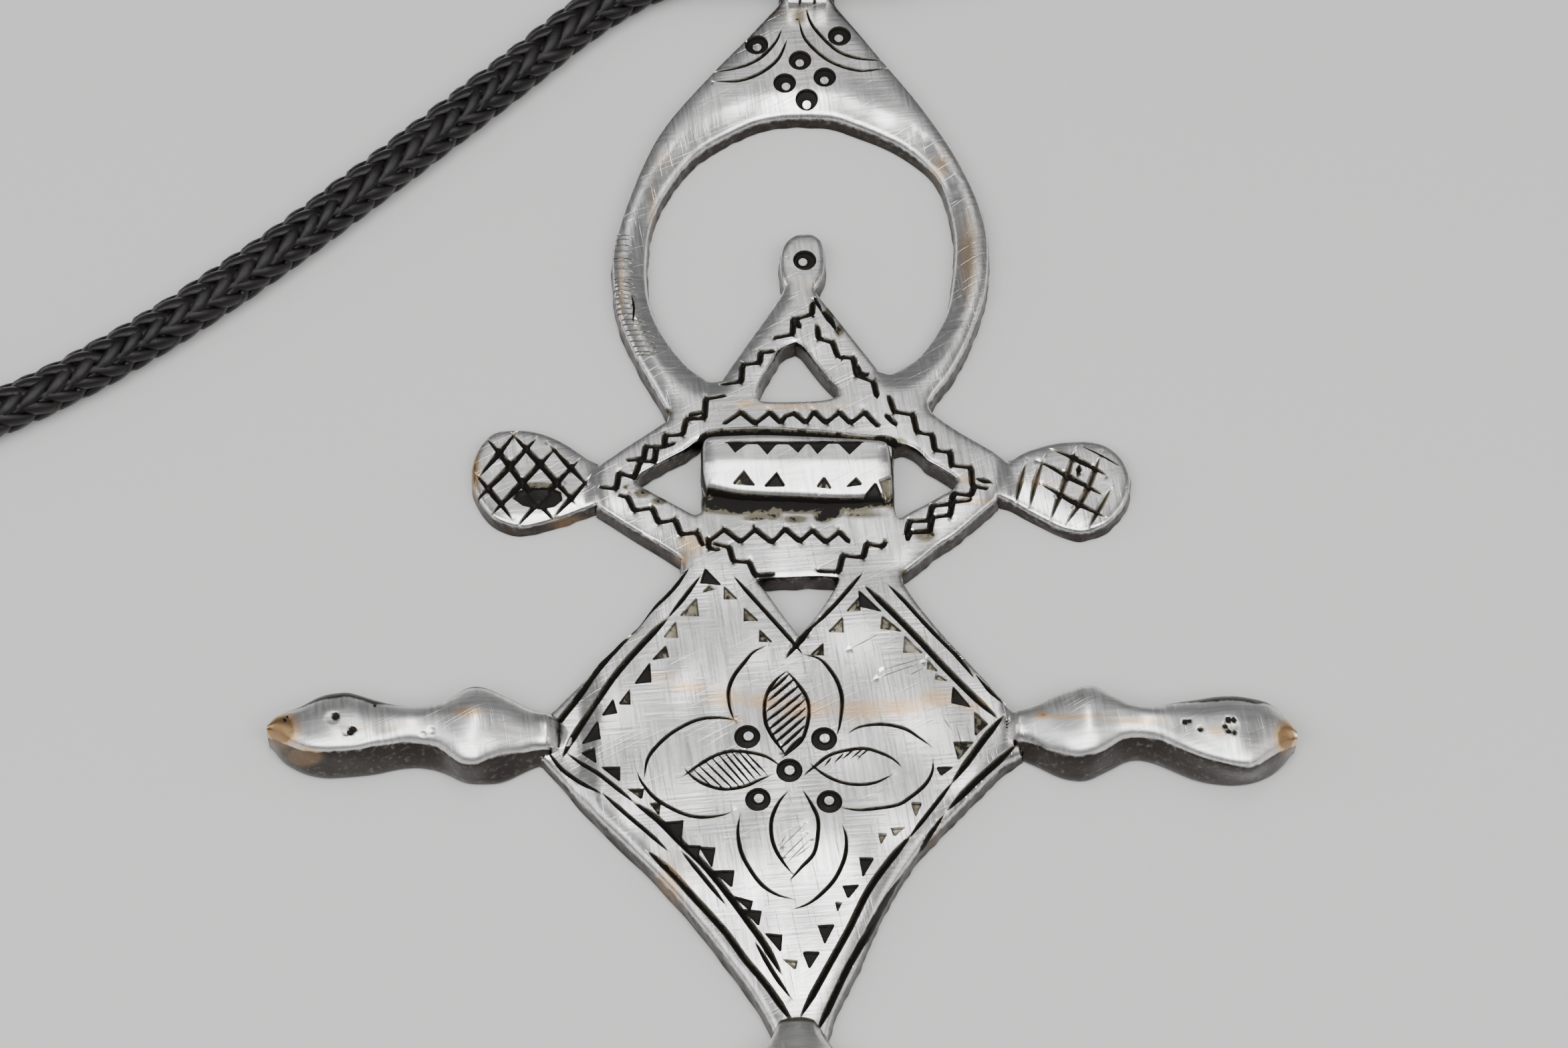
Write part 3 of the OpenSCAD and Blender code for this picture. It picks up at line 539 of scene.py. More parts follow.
# The lower arm: where it starts and its sizes, then shares along, of the half width and
# of the height
FOOT_AT = (0.2, -17.1)
FOOT_L = 17.2
FOOT_HALF_W = 2.75
FOOT_H = 4.6
FOOT_ROWS = [
    (0.0, 0.58, 0.53), (0.07, 0.7, 0.7), (0.16, 1.04, 0.9), (0.24, 1.26, 1.0), (0.3, 1.12, 0.98),
    (0.38, 0.8, 0.9), (0.47, 0.67, 0.85), (0.55, 0.71, 0.87), (0.65, 0.88, 0.94), (0.74, 1.0, 1.0),
    (0.83, 0.99, 1.0), (0.91, 0.82, 0.95), (0.97, 0.52, 0.82), (1.0, 0.24, 0.6),
]

# Dents and punches on the arms: pixel, radius in pixels, depth and how black
DENTS = [
    (497, 1074, 12, 0.09, 0.15), (502, 1071, 7, 0.13, 0.8), (528, 1091, 6, 0.16, 1.0),
    (524, 1096, 5, 0.13, 1.0), (518, 1098, 4, 0.08, 0.2), (459, 1050, 4.5, 0.06, 0.8),
    (561, 1056, 3, 0.03, 0.5), (646, 1093, 7, 0.1, 0.1), (633, 1098, 6, 0.08, 0.1),
    (1842, 1086, 13, 0.1, 0.1), (1838, 1077, 5, 0.15, 1.0), (1846, 1077, 4, 0.13, 0.9),
    (1833, 1086, 4.5, 0.14, 1.0), (1838, 1094, 4.5, 0.13, 0.9), (1847, 1096, 4, 0.12, 0.8),
    (1773, 1080, 5, 0.1, 0.9), (1779, 1079, 4, 0.08, 0.8), (1796, 1091, 4.5, 0.1, 0.9),
    (426, 1077, 4, 0.05, 0.9), (430, 1073, 3, 0.04, 0.8),
]

# Stains that are charted: pixel, half width and half height in pixels, strength.
# Weak warm ones are pale copper, strong ones are amber and brown; the black ones are
# oxide and rough solder, and the row of broad ones along the block's front is a painted shadow.
WARM_SPOTS = [
    (985, 1012, 34, 12, 0.45), (1030, 1028, 40, 15, 0.5), (1087, 1044, 46, 18, 0.55),
    (1140, 1049, 44, 18, 0.55), (1211, 1060, 54, 20, 0.55), (1290, 1062, 54, 20, 0.6),
    (1345, 1058, 46, 18, 0.64), (1400, 1046, 38, 18, 0.64), (1455, 1056, 30, 13, 0.5),
    (700, 708, 16, 42, 1.3), (750, 797, 60, 10, 0.3), (860, 785, 40, 14, 0.7), (1560, 722, 60, 16, 0.3),
    (1620, 735, 50, 14, 0.25), (1448, 385, 18, 90, 0.5), (1490, 380, 8, 70, 0.6),
    (1405, 250, 20, 30, 0.5), (420, 1092, 26, 26, 1.4), (455, 1132, 24, 12, 1.3),
    (1924, 1103, 16, 24, 1.35), (1600, 1072, 70, 6, 0.6), (1560, 1070, 14, 8, 0.8),
    (1700, 1078, 60, 7, 0.55), (1190, 608, 110, 7, 0.5), (1115, 604, 20, 8, 0.6),
    (1035, 815, 26, 22, 0.6), (1020, 838, 16, 10, 0.6), (1445, 718, 12, 10, 0.6), (1462, 750, 30, 8, 0.5),
    (1200, 425, 40, 20, 0.3), (700, 1065, 30, 10, 0.6), (600, 1085, 50, 10, 0.35),
    (550, 1090, 40, 10, 0.35), (1820, 1095, 20, 14, 0.5), (930, 430, 6, 80, 0.4),
    (990, 240, 20, 30, 0.35), (1000, 1330, 30, 60, 0.5), (1405, 1290, 20, 60, 0.45),
    (1210, 90, 60, 50, 0.22), (1180, 20, 50, 14, 0.3), (1100, 1076, 30, 10, 0.4), (975, 310, 8, 60, 0.4),
]
OXIDE_AND_SHADOW_SPOTS = [
    (804, 728, 32, 7, 0.55), (1130, 775, 20, 5, 0.55), (1155, 771, 14, 7, 0.62), (1190, 777, 22, 6, 0.5),
    (1243, 764, 16, 10, 1.1), (1110, 752, 62, 15, 1.2), (1200, 752, 60, 13, 1.2),
    (1275, 750, 46, 11, 1.15), (1322, 750, 20, 8, 0.8), (1232, 774, 14, 7, 0.8), (960, 738, 14, 7, 0.5),
    (985, 750, 14, 6, 0.5), (940, 729, 10, 5, 0.5), (1240, 470, 9, 10, 0.5), (1255, 495, 8, 10, 0.5),
    (1385, 800, 22, 14, 0.42), (816, 1092, 7, 30, 0.45), (1523, 1090, 6, 26, 0.4),
    (1196, 25, 14, 16, 0.35), (1022, 838, 6, 8, 0.5), (1352, 858, 6, 8, 0.5), (1395, 606, 7, 7, 0.5),
    (999, 617, 7, 7, 0.5), (1345, 665, 14, 10, 0.6), (1333, 745, 10, 20, 0.5), (1530, 1085, 12, 20, 0.3),
    (1290, 770, 50, 8, 0.35),
]


def spot(pixels, z):
    """Where pixels of the photograph lie on the level z."""
    pixels = np.asarray(pixels, float).reshape(-1, 2)
    u = (pixels[:, 0] - PHOTO_W / 2) / FOCAL
    v = (PHOTO_H / 2 - pixels[:, 1]) / FOCAL
    ray = FORWARD + u[:, None] * RIGHT + v[:, None] * UP
    reach = (z - EYE[2]) / ray[:, 2]
    return (EYE + reach[:, None] * ray)[:, :2]


def smooth(points, step):
    """Points about every step along the smooth curve through the given points."""
    points = np.asarray(points, float)
    if len(points) < 3:
        pieces = max(1, int(np.ceil(np.linalg.norm(points[1] - points[0]) / step)))
        return points[0] + (points[1] - points[0]) * np.linspace(0, 1, pieces + 1)[:, None]
    out = []
    before = np.vstack([points[:1], points[:-2]])
    beyond = np.vstack([points[2:], points[-1:]])
    for a, b, c, d in zip(before, points[:-1], points[1:], beyond):
        pieces = max(1, int(np.ceil(np.linalg.norm(c - b) / step)))
        for k in range(pieces):
            s = k / pieces
            out.append(0.5 * (2 * b + (c - a) * s + (2 * a - 5 * b + 4 * c - d) * s ** 2
                              + (3 * b - a - 3 * c + d) * s ** 3))
    return np.array(out + [points[-1]])


def chain(points, step):
    """Points about every step along straight lines between the given points."""
    points = np.asarray(points, float)
    out = [smooth(points[i:i + 2], step)[:-1] for i in range(len(points) - 1)]
    return np.vstack(out + [points[-1:]])


def ramp(value, low, high):
    """0 below low, 1 above high, smooth between."""
    t = np.clip((value - low) / (high - low), 0, 1)
    return t * t * (3 - 2 * t)


def pixel(points):
    """Where points in millimetres fall in the photograph."""
    ray = points - EYE
    reach = ray @ FORWARD
    across = PHOTO_W / 2 + FOCAL * (ray @ RIGHT) / reach
    down = PHOTO_H / 2 - FOCAL * (ray @ UP) / reach
    return np.stack([across, down], axis=1)


def stains(points, spots):
    """How strongly the charted spots stain each point."""
    at = pixel(points)
    total = np.zeros(len(at))
    for x, y, half_w, half_h, strength in spots:
        away = ((at[:, 0] - x) / half_w) ** 2 + ((at[:, 1] - y) / half_h) ** 2
        total = np.maximum(total, strength * np.exp(-away))
    return total


def waves(points, kind, seed):
    """Seeded unevenness of one kind of hand work."""
    size, lengths = UNEVEN[kind]
    source = np.random.default_rng(seed)
    total = np.zeros(len(points))
    for length in lengths:
        turn = source.uniform(0, 2 * math.pi)
        lag = source.uniform(0, 2 * math.pi)
        along = points[:, 0] * math.cos(turn) + points[:, 1] * math.sin(turn)
        total += np.sin(2 * math.pi * along / length + lag)
    return size * (total / math.sqrt(len(lengths)))


def spread(values, reach):
    """Values around a closed line, evened over the given number of neighbours."""
    return sum(np.roll(values, k, axis=0) for k in range(-reach, reach + 1)) / (2 * reach + 1)


def evened(values, reach):
    """Values along an open line, evened twice over the given number of neighbours."""
    width = 2 * reach + 1
    for _ in range(2):
        values = np.convolve(np.pad(values, reach, mode="edge"), np.ones(width) / width, "valid")
    return values


def circle(count):
    """Evenly spaced points on a circle of radius one."""
    turn = np.arange(count) * 2 * math.pi / count
    return np.stack([np.cos(turn), np.sin(turn)], axis=1)


def unit(rows, least=0.0):
    """Rows scaled to length one."""
    return rows / (np.linalg.norm(rows, axis=1)[:, None] + least)


def left_of(along, least=0.0):
    """Unit directions to the left of the given ones."""
    return unit(np.stack([-along[:, 1], along[:, 0]], axis=1), least)


def signed_area(shape):
    """Area of a closed shape, above zero when it runs against the clock."""
    x, y = shape.T
    return 0.5 * np.sum(x * np.roll(y, -1) - np.roll(x, -1) * y)


def length_along(path):
    """How far each point of a path is from its start."""
    return np.concatenate([[0], np.cumsum(np.linalg.norm(np.diff(path, axis=0), axis=1))])


def edge_loop(parts, step):
    """Evenly spaced points of one closed edge, with its widths and depths."""
    rows = np.array([[*point, *shape] for pixels, z, *shape in parts
                     for point in smooth(spot(pixels, z), step)])
    away = np.linalg.norm(rows[:, :2] - np.roll(rows[:, :2], 1, axis=0), axis=1)
    rows = rows[away > 0.35 * step]
    filled = []
    for row, after in zip(rows, np.roll(rows, -1, axis=0)):
        pieces = max(1, int(round(np.linalg.norm(after[:2] - row[:2]) / step)))
        filled.extend(row + (after - row) * k / pieces for k in range(pieces))
    rows = np.array(filled)
    rows[:, 2:] = spread(rows[:, 2:], 3)
    return rows


def join_loops(loops):
    """All edges of one face: their points, values, neighbours and inward directions."""
    loops = [loop if (signed_area(loop[:, :2]) > 0) == (number == 0) else loop[::-1]
             for number, loop in enumerate(loops)]
    rows = np.vstack(loops)
    rings = np.split(np.arange(len(rows)), np.cumsum([len(loop) for loop in loops])[:-1])
    before = np.concatenate([np.roll(ring, 1) for ring in rings])
    after = np.concatenate([np.roll(ring, -1) for ring in rings])
    return {"at": rows[:, :2], "values": rows[:, 2:], "before": before, "after": after,
            "inward": left_of(rows[after, :2] - rows[before, :2])}


def in_space(points):
    """Points as a plain list, level ones raised to the level 0."""
    return np.pad(points, ((0, 0), (0, 3 - points.shape[1]))).tolist()


def nearest(points, places):
    """Number and distance of the place that is nearest to each point."""
    tree = KDTree(len(places))
    for i, place in enumerate(in_space(places)):
        tree.insert(place, i)
    tree.balance()
    found = [tree.find(point) for point in in_space(points)]
    return np.array([hit[1] for hit in found], int), np.array([hit[2] for hit in found])


def nearest_edge(points, rim):
    """Distance of each point from the edges, and the edge's values nearest to it."""
    index, _ = nearest(points, rim["at"])
    distance = np.full(len(points), np.inf)
    values = np.zeros((len(points), rim["values"].shape[1]))
    start = rim["at"][index]
    for side in ("before", "after"):
        other = rim[side][index]
        along = rim["at"][other] - start
        t = np.clip(np.sum((points - start) * along, axis=1) / np.sum(along ** 2, axis=1), 0, 1)
        away = np.linalg.norm(points - start - t[:, None] * along, axis=1)
        here = rim["values"][index] * (1 - t[:, None]) + rim["values"][other] * t[:, None]
        closer = away < distance
        distance[closer] = away[closer]
        values[closer] = here[closer]
    return distance, values


def inside(points, rim):
    """Whether each point lies in the metal of the face."""
    a = rim["at"]
    b = rim["at"][rim["after"]]
    tall = np.where(b[:, 1] == a[:, 1], 1e-12, b[:, 1] - a[:, 1])
    out = np.zeros(len(points), bool)
    for start in range(0, len(points), 4000):
        x = points[start:start + 4000, 0:1]
        y = points[start:start + 4000, 1:2]
        crosses = (a[:, 1] > y) != (b[:, 1] > y)
        reach = a[:, 0] + (y - a[:, 1]) * (b[:, 0] - a[:, 0]) / tall
        out[start:start + 4000] = np.sum(crosses & (x < reach), axis=1) % 2 == 1
    return out


def cut_strokes(groups, z):
    """The engraved strokes of a face: path, half width, depth, taper and blackness."""
    return [(way(spot(line, z), STROKE_STEP), *GRAVER[tool])
            for lines, tool, way in groups for line in lines]


def step_strokes(lines, z, leaning):
    """Strokes cut one by one: the upright or falling ones wide, the others narrow."""
    strokes = []
    for line in lines:
        for a, b in zip(line[:-1], line[1:]):
            across, down = b[0] - a[0], b[1] - a[1]
            heavy = across * down > 0 if leaning else abs(down) > abs(across)
            strokes.append((chain(spot([a, b], z), 0.12), *GRAVER["riser" if heavy else "tread"]))
    return strokes


def taper_along(path, taper):
    """How full the cut is at each point of a stroke."""
    length = length_along(path)
    near_end = np.minimum(length, length[-1] - length) + 0.12
    return np.clip(near_end / min(taper, 0.5 * length[-1] + 0.12), 0, 1)


def stroke_width(full):
    """Share of the whole width where the cut is so full."""
    return 0.25 + 0.75 * full ** 0.8


def stroke_points(strokes):
    """Points along the middle and both lips of every stroke, and the middle's edges."""
    points, edges = [], []
    for path, half, _, taper, _ in strokes:
        wide = half * stroke_width(taper_along(path, taper))
        across = left_of(np.gradient(path, axis=0), 1e-9)
        start = len(points)
        points.extend(path)
        edges.extend((start + i, start + i + 1) for i in range(len(path) - 1))
        for share in (-1.0, 1.0):
            points.extend(path + across * (share * wide)[:, None])
    return np.array(points).reshape(-1, 2), edges


def stroke_depth(points, strokes):
    """Depth of the strokes at each point, and how black the cut is there."""
    deep = np.zeros(len(points))
    share = np.zeros(len(points))
    for path, half, depth, taper, black in strokes:
        low = path.min(axis=0) - half
        high = path.max(axis=0) + half
        near = np.all((points > low) & (points < high), axis=1)
        if not near.any():
            continue
        some = points[near][:, None, :]
        full = taper_along(path, taper)
        a = path[:-1]
        along = path[1:] - a
        t = np.clip(np.sum((some - a) * along, axis=2) / (np.sum(along ** 2, axis=1) + 1e-12), 0, 1)
        away = np.linalg.norm(some - a - t[:, :, None] * along, axis=2)
        pick = np.argmin(away, axis=1)
        rows = np.arange(len(pick))
        here = full[pick] * (1 - t[rows, pick]) + full[pick + 1] * t[rows, pick]
        cut = np.clip(1 - away[rows, pick] / (half * stroke_width(here)), 0, 1)
        deep[near] = np.maximum(deep[near], depth * here ** 0.7 * cut)
        dark = np.clip(cut * 2.2, 0, 1) * np.clip(here * 2.5, 0, 1) * black
        share[near] = np.maximum(share[near], dark)
    return deep, share


def mark_shapes(marks, z):
    """The punched triangles of a face: corners in turn, and blackness."""
    shapes = []
    for corners, black in marks:
        shape = spot(corners, z)
        shape = shape.mean(axis=0) + (shape - shape.mean(axis=0)) * MARK_SPREAD
        shapes.append((shape if signed_area(shape) > 0 else shape[::-1], black))
    return shapes


def mark_depth(points, shapes, depth):
    """Depth of the punched triangles at each point, and how black they are there."""
    deep = np.zeros(len(points))
    dark = np.zeros(len(points))
    for shape, black in shapes:
        reach = np.full(len(points), np.inf)
        for corner, after in zip(shape, np.roll(shape, -1, axis=0)):
            along = (after - corner) / np.linalg.norm(after - corner)
            reach = np.minimum(reach, (points - corner) @ np.array([-along[1], along[0]]))
        here = np.clip(reach / MARK_WALL, 0, 1)
        deep = np.maximum(deep, depth * here)
        dark = np.maximum(dark, 0.8 * black * np.clip(here * 1.6, 0, 1))
    return deep, dark


def mark_points(shapes):
    """Points round the rim and on the floor of every punched triangle, with edges."""
    points, edges = [], []
    for shape, _ in shapes:
        middle = shape.mean(axis=0)
        sides = np.linalg.norm(shape - np.roll(shape, 1, axis=0), axis=1)
        radius = max(0.05, 2 * signed_area(shape) / sides.sum())
        for share in (1.0, max(0.15, 1 - MARK_WALL / radius)):
            rim = chain(np.vstack([middle + (shape - middle) * share,
                                   middle + (shape[:1] - middle) * share]), 0.16)[:-1]
            start = len(points)
            points.extend(rim)
            edges.extend((start + i, start + (i + 1) % len(rim)) for i in range(len(rim)))
        points.append(middle)
    return np.array(points).reshape(-1, 2), edges


def ring_places(rings, z):
    """Middle and radius of every punched ring, and how far its dot is set off."""
    for at, radius, way, off in rings:
        turn = math.radians(way)
        size = radius / RING_PIXELS
        yield spot([at], z)[0], size, off * size * np.array([math.cos(turn), math.sin(turn)])


def ring_points(rings, z):
    """Points on circles in and around every punched ring."""
    points = []
    for middle, size, shift in ring_places(rings, z):
        for share, count in ((0.2, 8), (RING_DOT * 0.8, 14), (RING_DOT, 18), (RING_DOT * 1.3, 20)):
            points.extend(middle + shift + size * share * circle(count))
        for share in (0.86, 1.0, 1.1):
            points.extend(middle + size * share * circle(30))
    return np.array(points).reshape(-1, 2)


def ring_depth(points, rings, z):
    """Depth of the punched rings at each point, round a dot that stands in each."""
    deep = np.zeros(len(points))
    for middle, size, shift in ring_places(rings, z):
        outer = np.linalg.norm(points - middle, axis=1) / size
        dot = np.linalg.norm(points - middle - shift, axis=1) / size
        groove = np.minimum((1 - outer) / 0.14, (dot - RING_DOT * 0.8) / (0.25 * RING_DOT))
        low_dot = 0.12 * np.clip((1 - outer) / 0.2, 0, 1)
        deep = np.maximum(deep, RING_DEPTH * np.maximum(np.clip(groove, 0, 1), low_dot))
    return deep


def make_object(name, verts, faces, values=None):
    """An object from points in millimetres, with named values at its points."""
    mesh = bpy.data.meshes.new(name)
    mesh.from_pydata((np.asarray(verts) * MM).tolist(), [], faces)
    mesh.validate()
    for key, numbers in (values or {}).items():
        layer = mesh.attributes.new(key, "FLOAT", "POINT")
        layer.data.foreach_set("value", np.asarray(numbers, np.float32))
    obj = bpy.data.objects.new(name, mesh)
    bpy.context.scene.collection.objects.link(obj)
    return obj


def quads(above, below):
    """Faces between rings of numbered points and the rings that follow them."""
    corners = [above, np.roll(above, -1, -1), np.roll(below, -1, -1), below]
    return np.stack(corners, axis=-1).reshape(-1, 4).tolist()


def triangulate(points, edges, rim, upward):
    """Triangles within a rim that keep the given edges, and where each point is from."""
    flat = [Vector(point) for point in points.tolist()]
    result = delaunay_2d_cdt(flat, edges, [], 0, 1e-6, True)
    verts = np.array([(v.x, v.y) for v in result[0]])
    faces = np.array(result[2])
    faces = faces[inside(verts[faces].mean(axis=1), rim)]
    a, b, c = (verts[faces[:, k]] for k in range(3))
    turn = (b[:, 0] - a[:, 0]) * (c[:, 1] - a[:, 1]) - (b[:, 1] - a[:, 1]) * (c[:, 0] - a[:, 0])
    wrong = turn < 0 if upward else turn > 0
    faces[wrong] = faces[wrong][:, ::-1]
    return verts, faces, result[3]


def boundary_loops(faces):
    """The rings of points around a set of triangles, each in order."""
    edges = set()
    for a, b, c in faces:
        edges.update(((a, b), (b, c), (c, a)))
    after = {a: b for a, b in edges if (b, a) not in edges}
    loops = []
    while after:
        start = next(iter(after))
        loop = [start]
        step = after.pop(start)
        while step != start:
            loop.append(step)
            step = after.pop(step)
        loops.append(np.array(loop))
    return loops


def loops_as_rim(points, edges):
    """The least that the inside test needs, from points and their edges."""
    after = np.zeros(len(points), int)
    for a, b in edges:
        after[a] = b
    return {"at": points, "after": after}


def cut_points(rim, strokes, shapes, circles):
    """Points of all cuts that keep clear of the rim, and the edges between them."""
    lines, edges = stroke_points(strokes)
    pits, pit_edges = mark_points(shapes)
    edges += [(a + len(lines), b + len(lines)) for a, b in pit_edges]
    points = np.vstack([lines, pits, circles])
    good = (nearest_edge(points, rim)[0] > RIM_CLEAR) & inside(points, rim)
    number = np.cumsum(good) - 1
    edges = [(int(number[a]), int(number[b])) for a, b in edges if good[a] and good[b]]
    return points[good], edges


def rim_points(rim, cuts):
    """Rows of points just inside the rim, clear of the cuts."""
    rows = []
    for offset in RIM_ROWS:
        row = rim["at"] + rim["inward"] * offset
        rows.append(row[(nearest_edge(row, rim)[0] > 0.9 * offset) & inside(row, rim)])
    rows = np.vstack(rows)
    return rows[nearest(rows, cuts)[1] > 0.05]


def field_points(rim, cuts, grid, seed):
    """A slightly uneven grid of points over the rest of the face."""
    low = rim["at"].min(axis=0)
    high = rim["at"].max(axis=0)
    x, y = np.meshgrid(np.arange(low[0], high[0], grid), np.arange(low[1], high[1], grid * 0.866))
    x[1::2] += grid / 2
    field = np.stack([x.ravel(), y.ravel()], axis=1)
    field += np.random.default_rng(seed).uniform(-0.05, 0.05, field.shape) * grid
    field = field[inside(field, rim)]
    field = field[nearest_edge(field, rim)[0] > 0.5]
    return field[nearest(field, cuts)[1] > 0.62 * grid]


def back_faces(at, numbers, edges, field, count):
    """Triangles of the back between the wall's lowest points, and the new points in it."""
    points = np.vstack([at, field])
    verts, faces, origins = triangulate(points, edges, loops_as_rim(at, edges), False)
    index, fresh = [], []
    for place, origin in zip(verts, origins):
        known = [k for k in origin if k < len(at)]
        index.append(numbers[known[0]] if known else count + len(fresh))
        if not known:
            fresh.append((*place, 0.0))
    return np.array(index)[faces].tolist(), np.array(fresh).reshape(-1, 3)


def relief(name, rim, strokes, shapes, circles, face, grid, wall, seed):
    """A closed body whose upper face is a charted, engraved sheet."""
    cuts, edges = cut_points(rim, strokes, shapes, circles)
    field = field_points(rim, cuts, grid, seed)
    edges += [(len(cuts) + i, len(cuts) + int(j)) for i, j in enumerate(rim["after"])]
    points = np.vstack([cuts, rim["at"], rim_points(rim, cuts), field])
    verts, faces, _ = triangulate(points, edges, rim, True)
    used, faces = np.unique(faces, return_inverse=True)
    verts = verts[used]
    z, numbers = face(verts)
    all_verts = [np.column_stack([verts, z])]
    all_faces = faces.reshape(-1, 3).tolist()
    values = {key: [numbers[key]] for key in VALUE_KEYS}
    count = len(verts)
    low_at, low_number, low_edges = [], [], []
    for loop in boundary_loops(all_faces):
        ring = verts[loop]
        outward = spread(-left_of(np.roll(ring, -1, axis=0) - np.roll(ring, 1, axis=0), 1e-9), 2)
        above = loop
        for share, out, black in wall:
            offset = np.full(len(ring), out)
            if share > 0:
                offset += waves(ring, "wall", seed + int(share * 100))
            row = np.column_stack([ring + outward * offset[:, None], z[loop] * share])
            below = count + np.arange(len(loop))
            all_verts.append(row)
            corners = [above, below, np.roll(below, -1), np.roll(above, -1)]
            all_faces += np.stack(corners, axis=1).tolist()
            # The wall rows get a side value of 1: painted shade
            for key, number in zip(VALUE_KEYS, (black, stains(row, WARM_SPOTS), 1.0)):
                values[key].append(np.broadcast_to(number, len(loop)))
            count += len(loop)
            above = below
        start = len(low_at)
        low_at.extend(row[:, :2])
        low_number.extend(above)
        low_edges += [(start + i, start + (i + 1) % len(loop)) for i in range(len(loop))]
    field = field[::7]
    field = field[nearest_edge(field, rim)[0] > 0.7]
    faces, fresh = back_faces(np.array(low_at), low_number, low_edges, field, count)
    all_faces += faces
    all_verts.append(fresh)
    for key, number in zip(VALUE_KEYS, BACK_VALUES):
        values[key].append(np.full(len(fresh), number))
    values = {key: np.concatenate(lists) for key, lists in values.items()}
    return make_object(name, np.vstack(all_verts), all_faces, values)


def plate_level(points):
    """Level of the face before anything is cut: thinner at the two round ends."""
    side = ramp(np.abs(points[:, 0] - 0.25), 12.7, 14.2)
    return PLATE_T - (PLATE_T - KNOB_T) * side


def crown(points):
    """How far the big lozenge falls off round its hammered middle."""
    away = np.hypot(points[:, 0] - CROWN_AT[0], points[:, 1] - CROWN_AT[1])
    return CROWN_DROP * (1 - np.exp(-(away / CROWN_R) ** 2))


def edge_drop(distance, values):
    """How far the face falls near its edges."""
    width, depth, slope, fall = values.T
    rounding = np.clip(1 - distance / np.maximum(width, 0.05), 0, 1)
    broad = np.clip(1 - distance / np.maximum(slope, 0.05), 0, 1)
    return depth * (1 - np.sqrt(np.clip(1 - rounding ** 2, 0, 1))) + fall * broad ** 1.4


def eased_drop(points, distance, values, rim):
    """The fall near the edges, evened round the ridge where two slopes meet."""
    total = edge_drop(distance, values)
    reach = np.minimum(0.6 * distance, EASE_R)[:, None]
    for step in circle(6):
        total += edge_drop(*nearest_edge(points + reach * step, rim))
    return total / 7


def face_values(points, z, oxide, warm_share, distance):
    """The named values of a face: black, warm tarnish, and painted shade along its edge."""
    warm = warm_share * stains(np.column_stack([points, z]), WARM_SPOTS)
    # Side: painted shade along the edge of the face
    side = 0.8 * np.clip(1 - distance / 0.12, 0, 1)
    return {"oxide": np.maximum.reduce(oxide), "warm": warm, "side": side}


def plate():
    """The flat part: two lozenges, ring, prong and round ends, pierced and engraved."""
    rim = join_loops([edge_loop(parts, 0.2) for parts in [OUTLINE] + OPENINGS])
    nicks = [[(x0, y), (x1, y + 2)] for y, x0, x1 in NICKS]
    strokes = cut_strokes([
        (BORDERS, "border", smooth), (FINE, "fine", smooth), (LINES, "line", smooth),
        (PETALS, "petal", smooth), (BOLD_HATCH, "bold", chain), (HATCHES, "hatch", chain),
        (FAINT, "faint", chain), (MOAT, "moat", smooth), (nicks, "nick", chain),
        (RING_LINE, "hatch", smooth),
    ], PLATE_T)
    strokes += step_strokes(STAIRS, PLATE_T, False) + step_strokes(ZIGZAGS, PLATE_T, True)
    strokes += cut_strokes([
        (LEFT_CROSS + RIGHT_CROSS, "cross", smooth), (RIGHT_FINE, "hatch", smooth),
        (RIGHT_GILT, "gilt", smooth),
    ], KNOB_T)
    shapes = mark_shapes(MARKS, PLATE_T) + mark_shapes(KNOB_PITS, KNOB_T)

    def face(points):
        distance, edge = nearest_edge(points, rim)
        deep, share = stroke_depth(points, strokes)
        pit, black = mark_depth(points, shapes, MARK_DEPTH)
        ring = ring_depth(points, RINGS, PLATE_T)
        z = plate_level(points) - eased_drop(points, distance, edge, rim) - crown(points)
        z += waves(points, "plate", 3) + waves(points, "fine", 4)
        z -= np.maximum(np.maximum(deep, pit), ring)
        # Dark spots: oxide and solder, and a painted shadow along the block's front
        dark = stains(np.column_stack([points, z]), OXIDE_AND_SHADOW_SPOTS)
        oxide = [share, black, np.clip(ring / RING_DEPTH * 1.3 - 0.2, 0, 1), dark]
        return z, face_values(points, z, oxide, 1.0, distance)

    circles = ring_points(RINGS, PLATE_T)
    return relief("plate", rim, strokes, shapes, circles, face, PLATE_GRID, PLATE_WALL, 11)


def block():
    """The raised bar across the middle, with its ridge and punched triangles."""
    rim = join_loops([edge_loop(BLOCK_OUTLINE, 0.16)])
    strokes = cut_strokes([(BLOCK_LINE, "bold", chain)], BLOCK_LEVEL)
    shapes = mark_shapes(BLOCK_MARKS, BLOCK_LEVEL)
    ridge_y = spot([(1190, BLOCK_RIDGE)], BLOCK_TOP)[0][1]

    def face(points):
        distance, edge = nearest_edge(points, rim)
        deep, share = stroke_depth(points, strokes)
        pit, black = mark_depth(points, shapes, BLOCK_MARK_DEPTH)
        back = np.clip(points[:, 1] - ridge_y, 0, None)
        front = np.clip(ridge_y - points[:, 1], 0, None)
        z = BLOCK_TOP - BLOCK_SLOPE_BACK * back - BLOCK_SLOPE_FRONT * front
        z += waves(points, "block", 6) - edge_drop(distance, edge)
        z -= np.maximum(deep, pit)
        oxide = [share, black, 0.9 * np.clip(1 - distance / 0.09, 0, 1)]
        return z, face_values(points, z, oxide, 0.6, distance)

    circles = np.empty((0, 2))
    return relief("block", rim, strokes, shapes, circles, face, BLOCK_GRID, BLOCK_WALL, 17)


def side_cut(corner, other, radius):
    """Where the rounding of a corner meets the side toward another corner."""
    side = other - corner
    long = np.linalg.norm(side)
    return corner + side / (long + 1e-9) * min(radius, 0.45 * long)


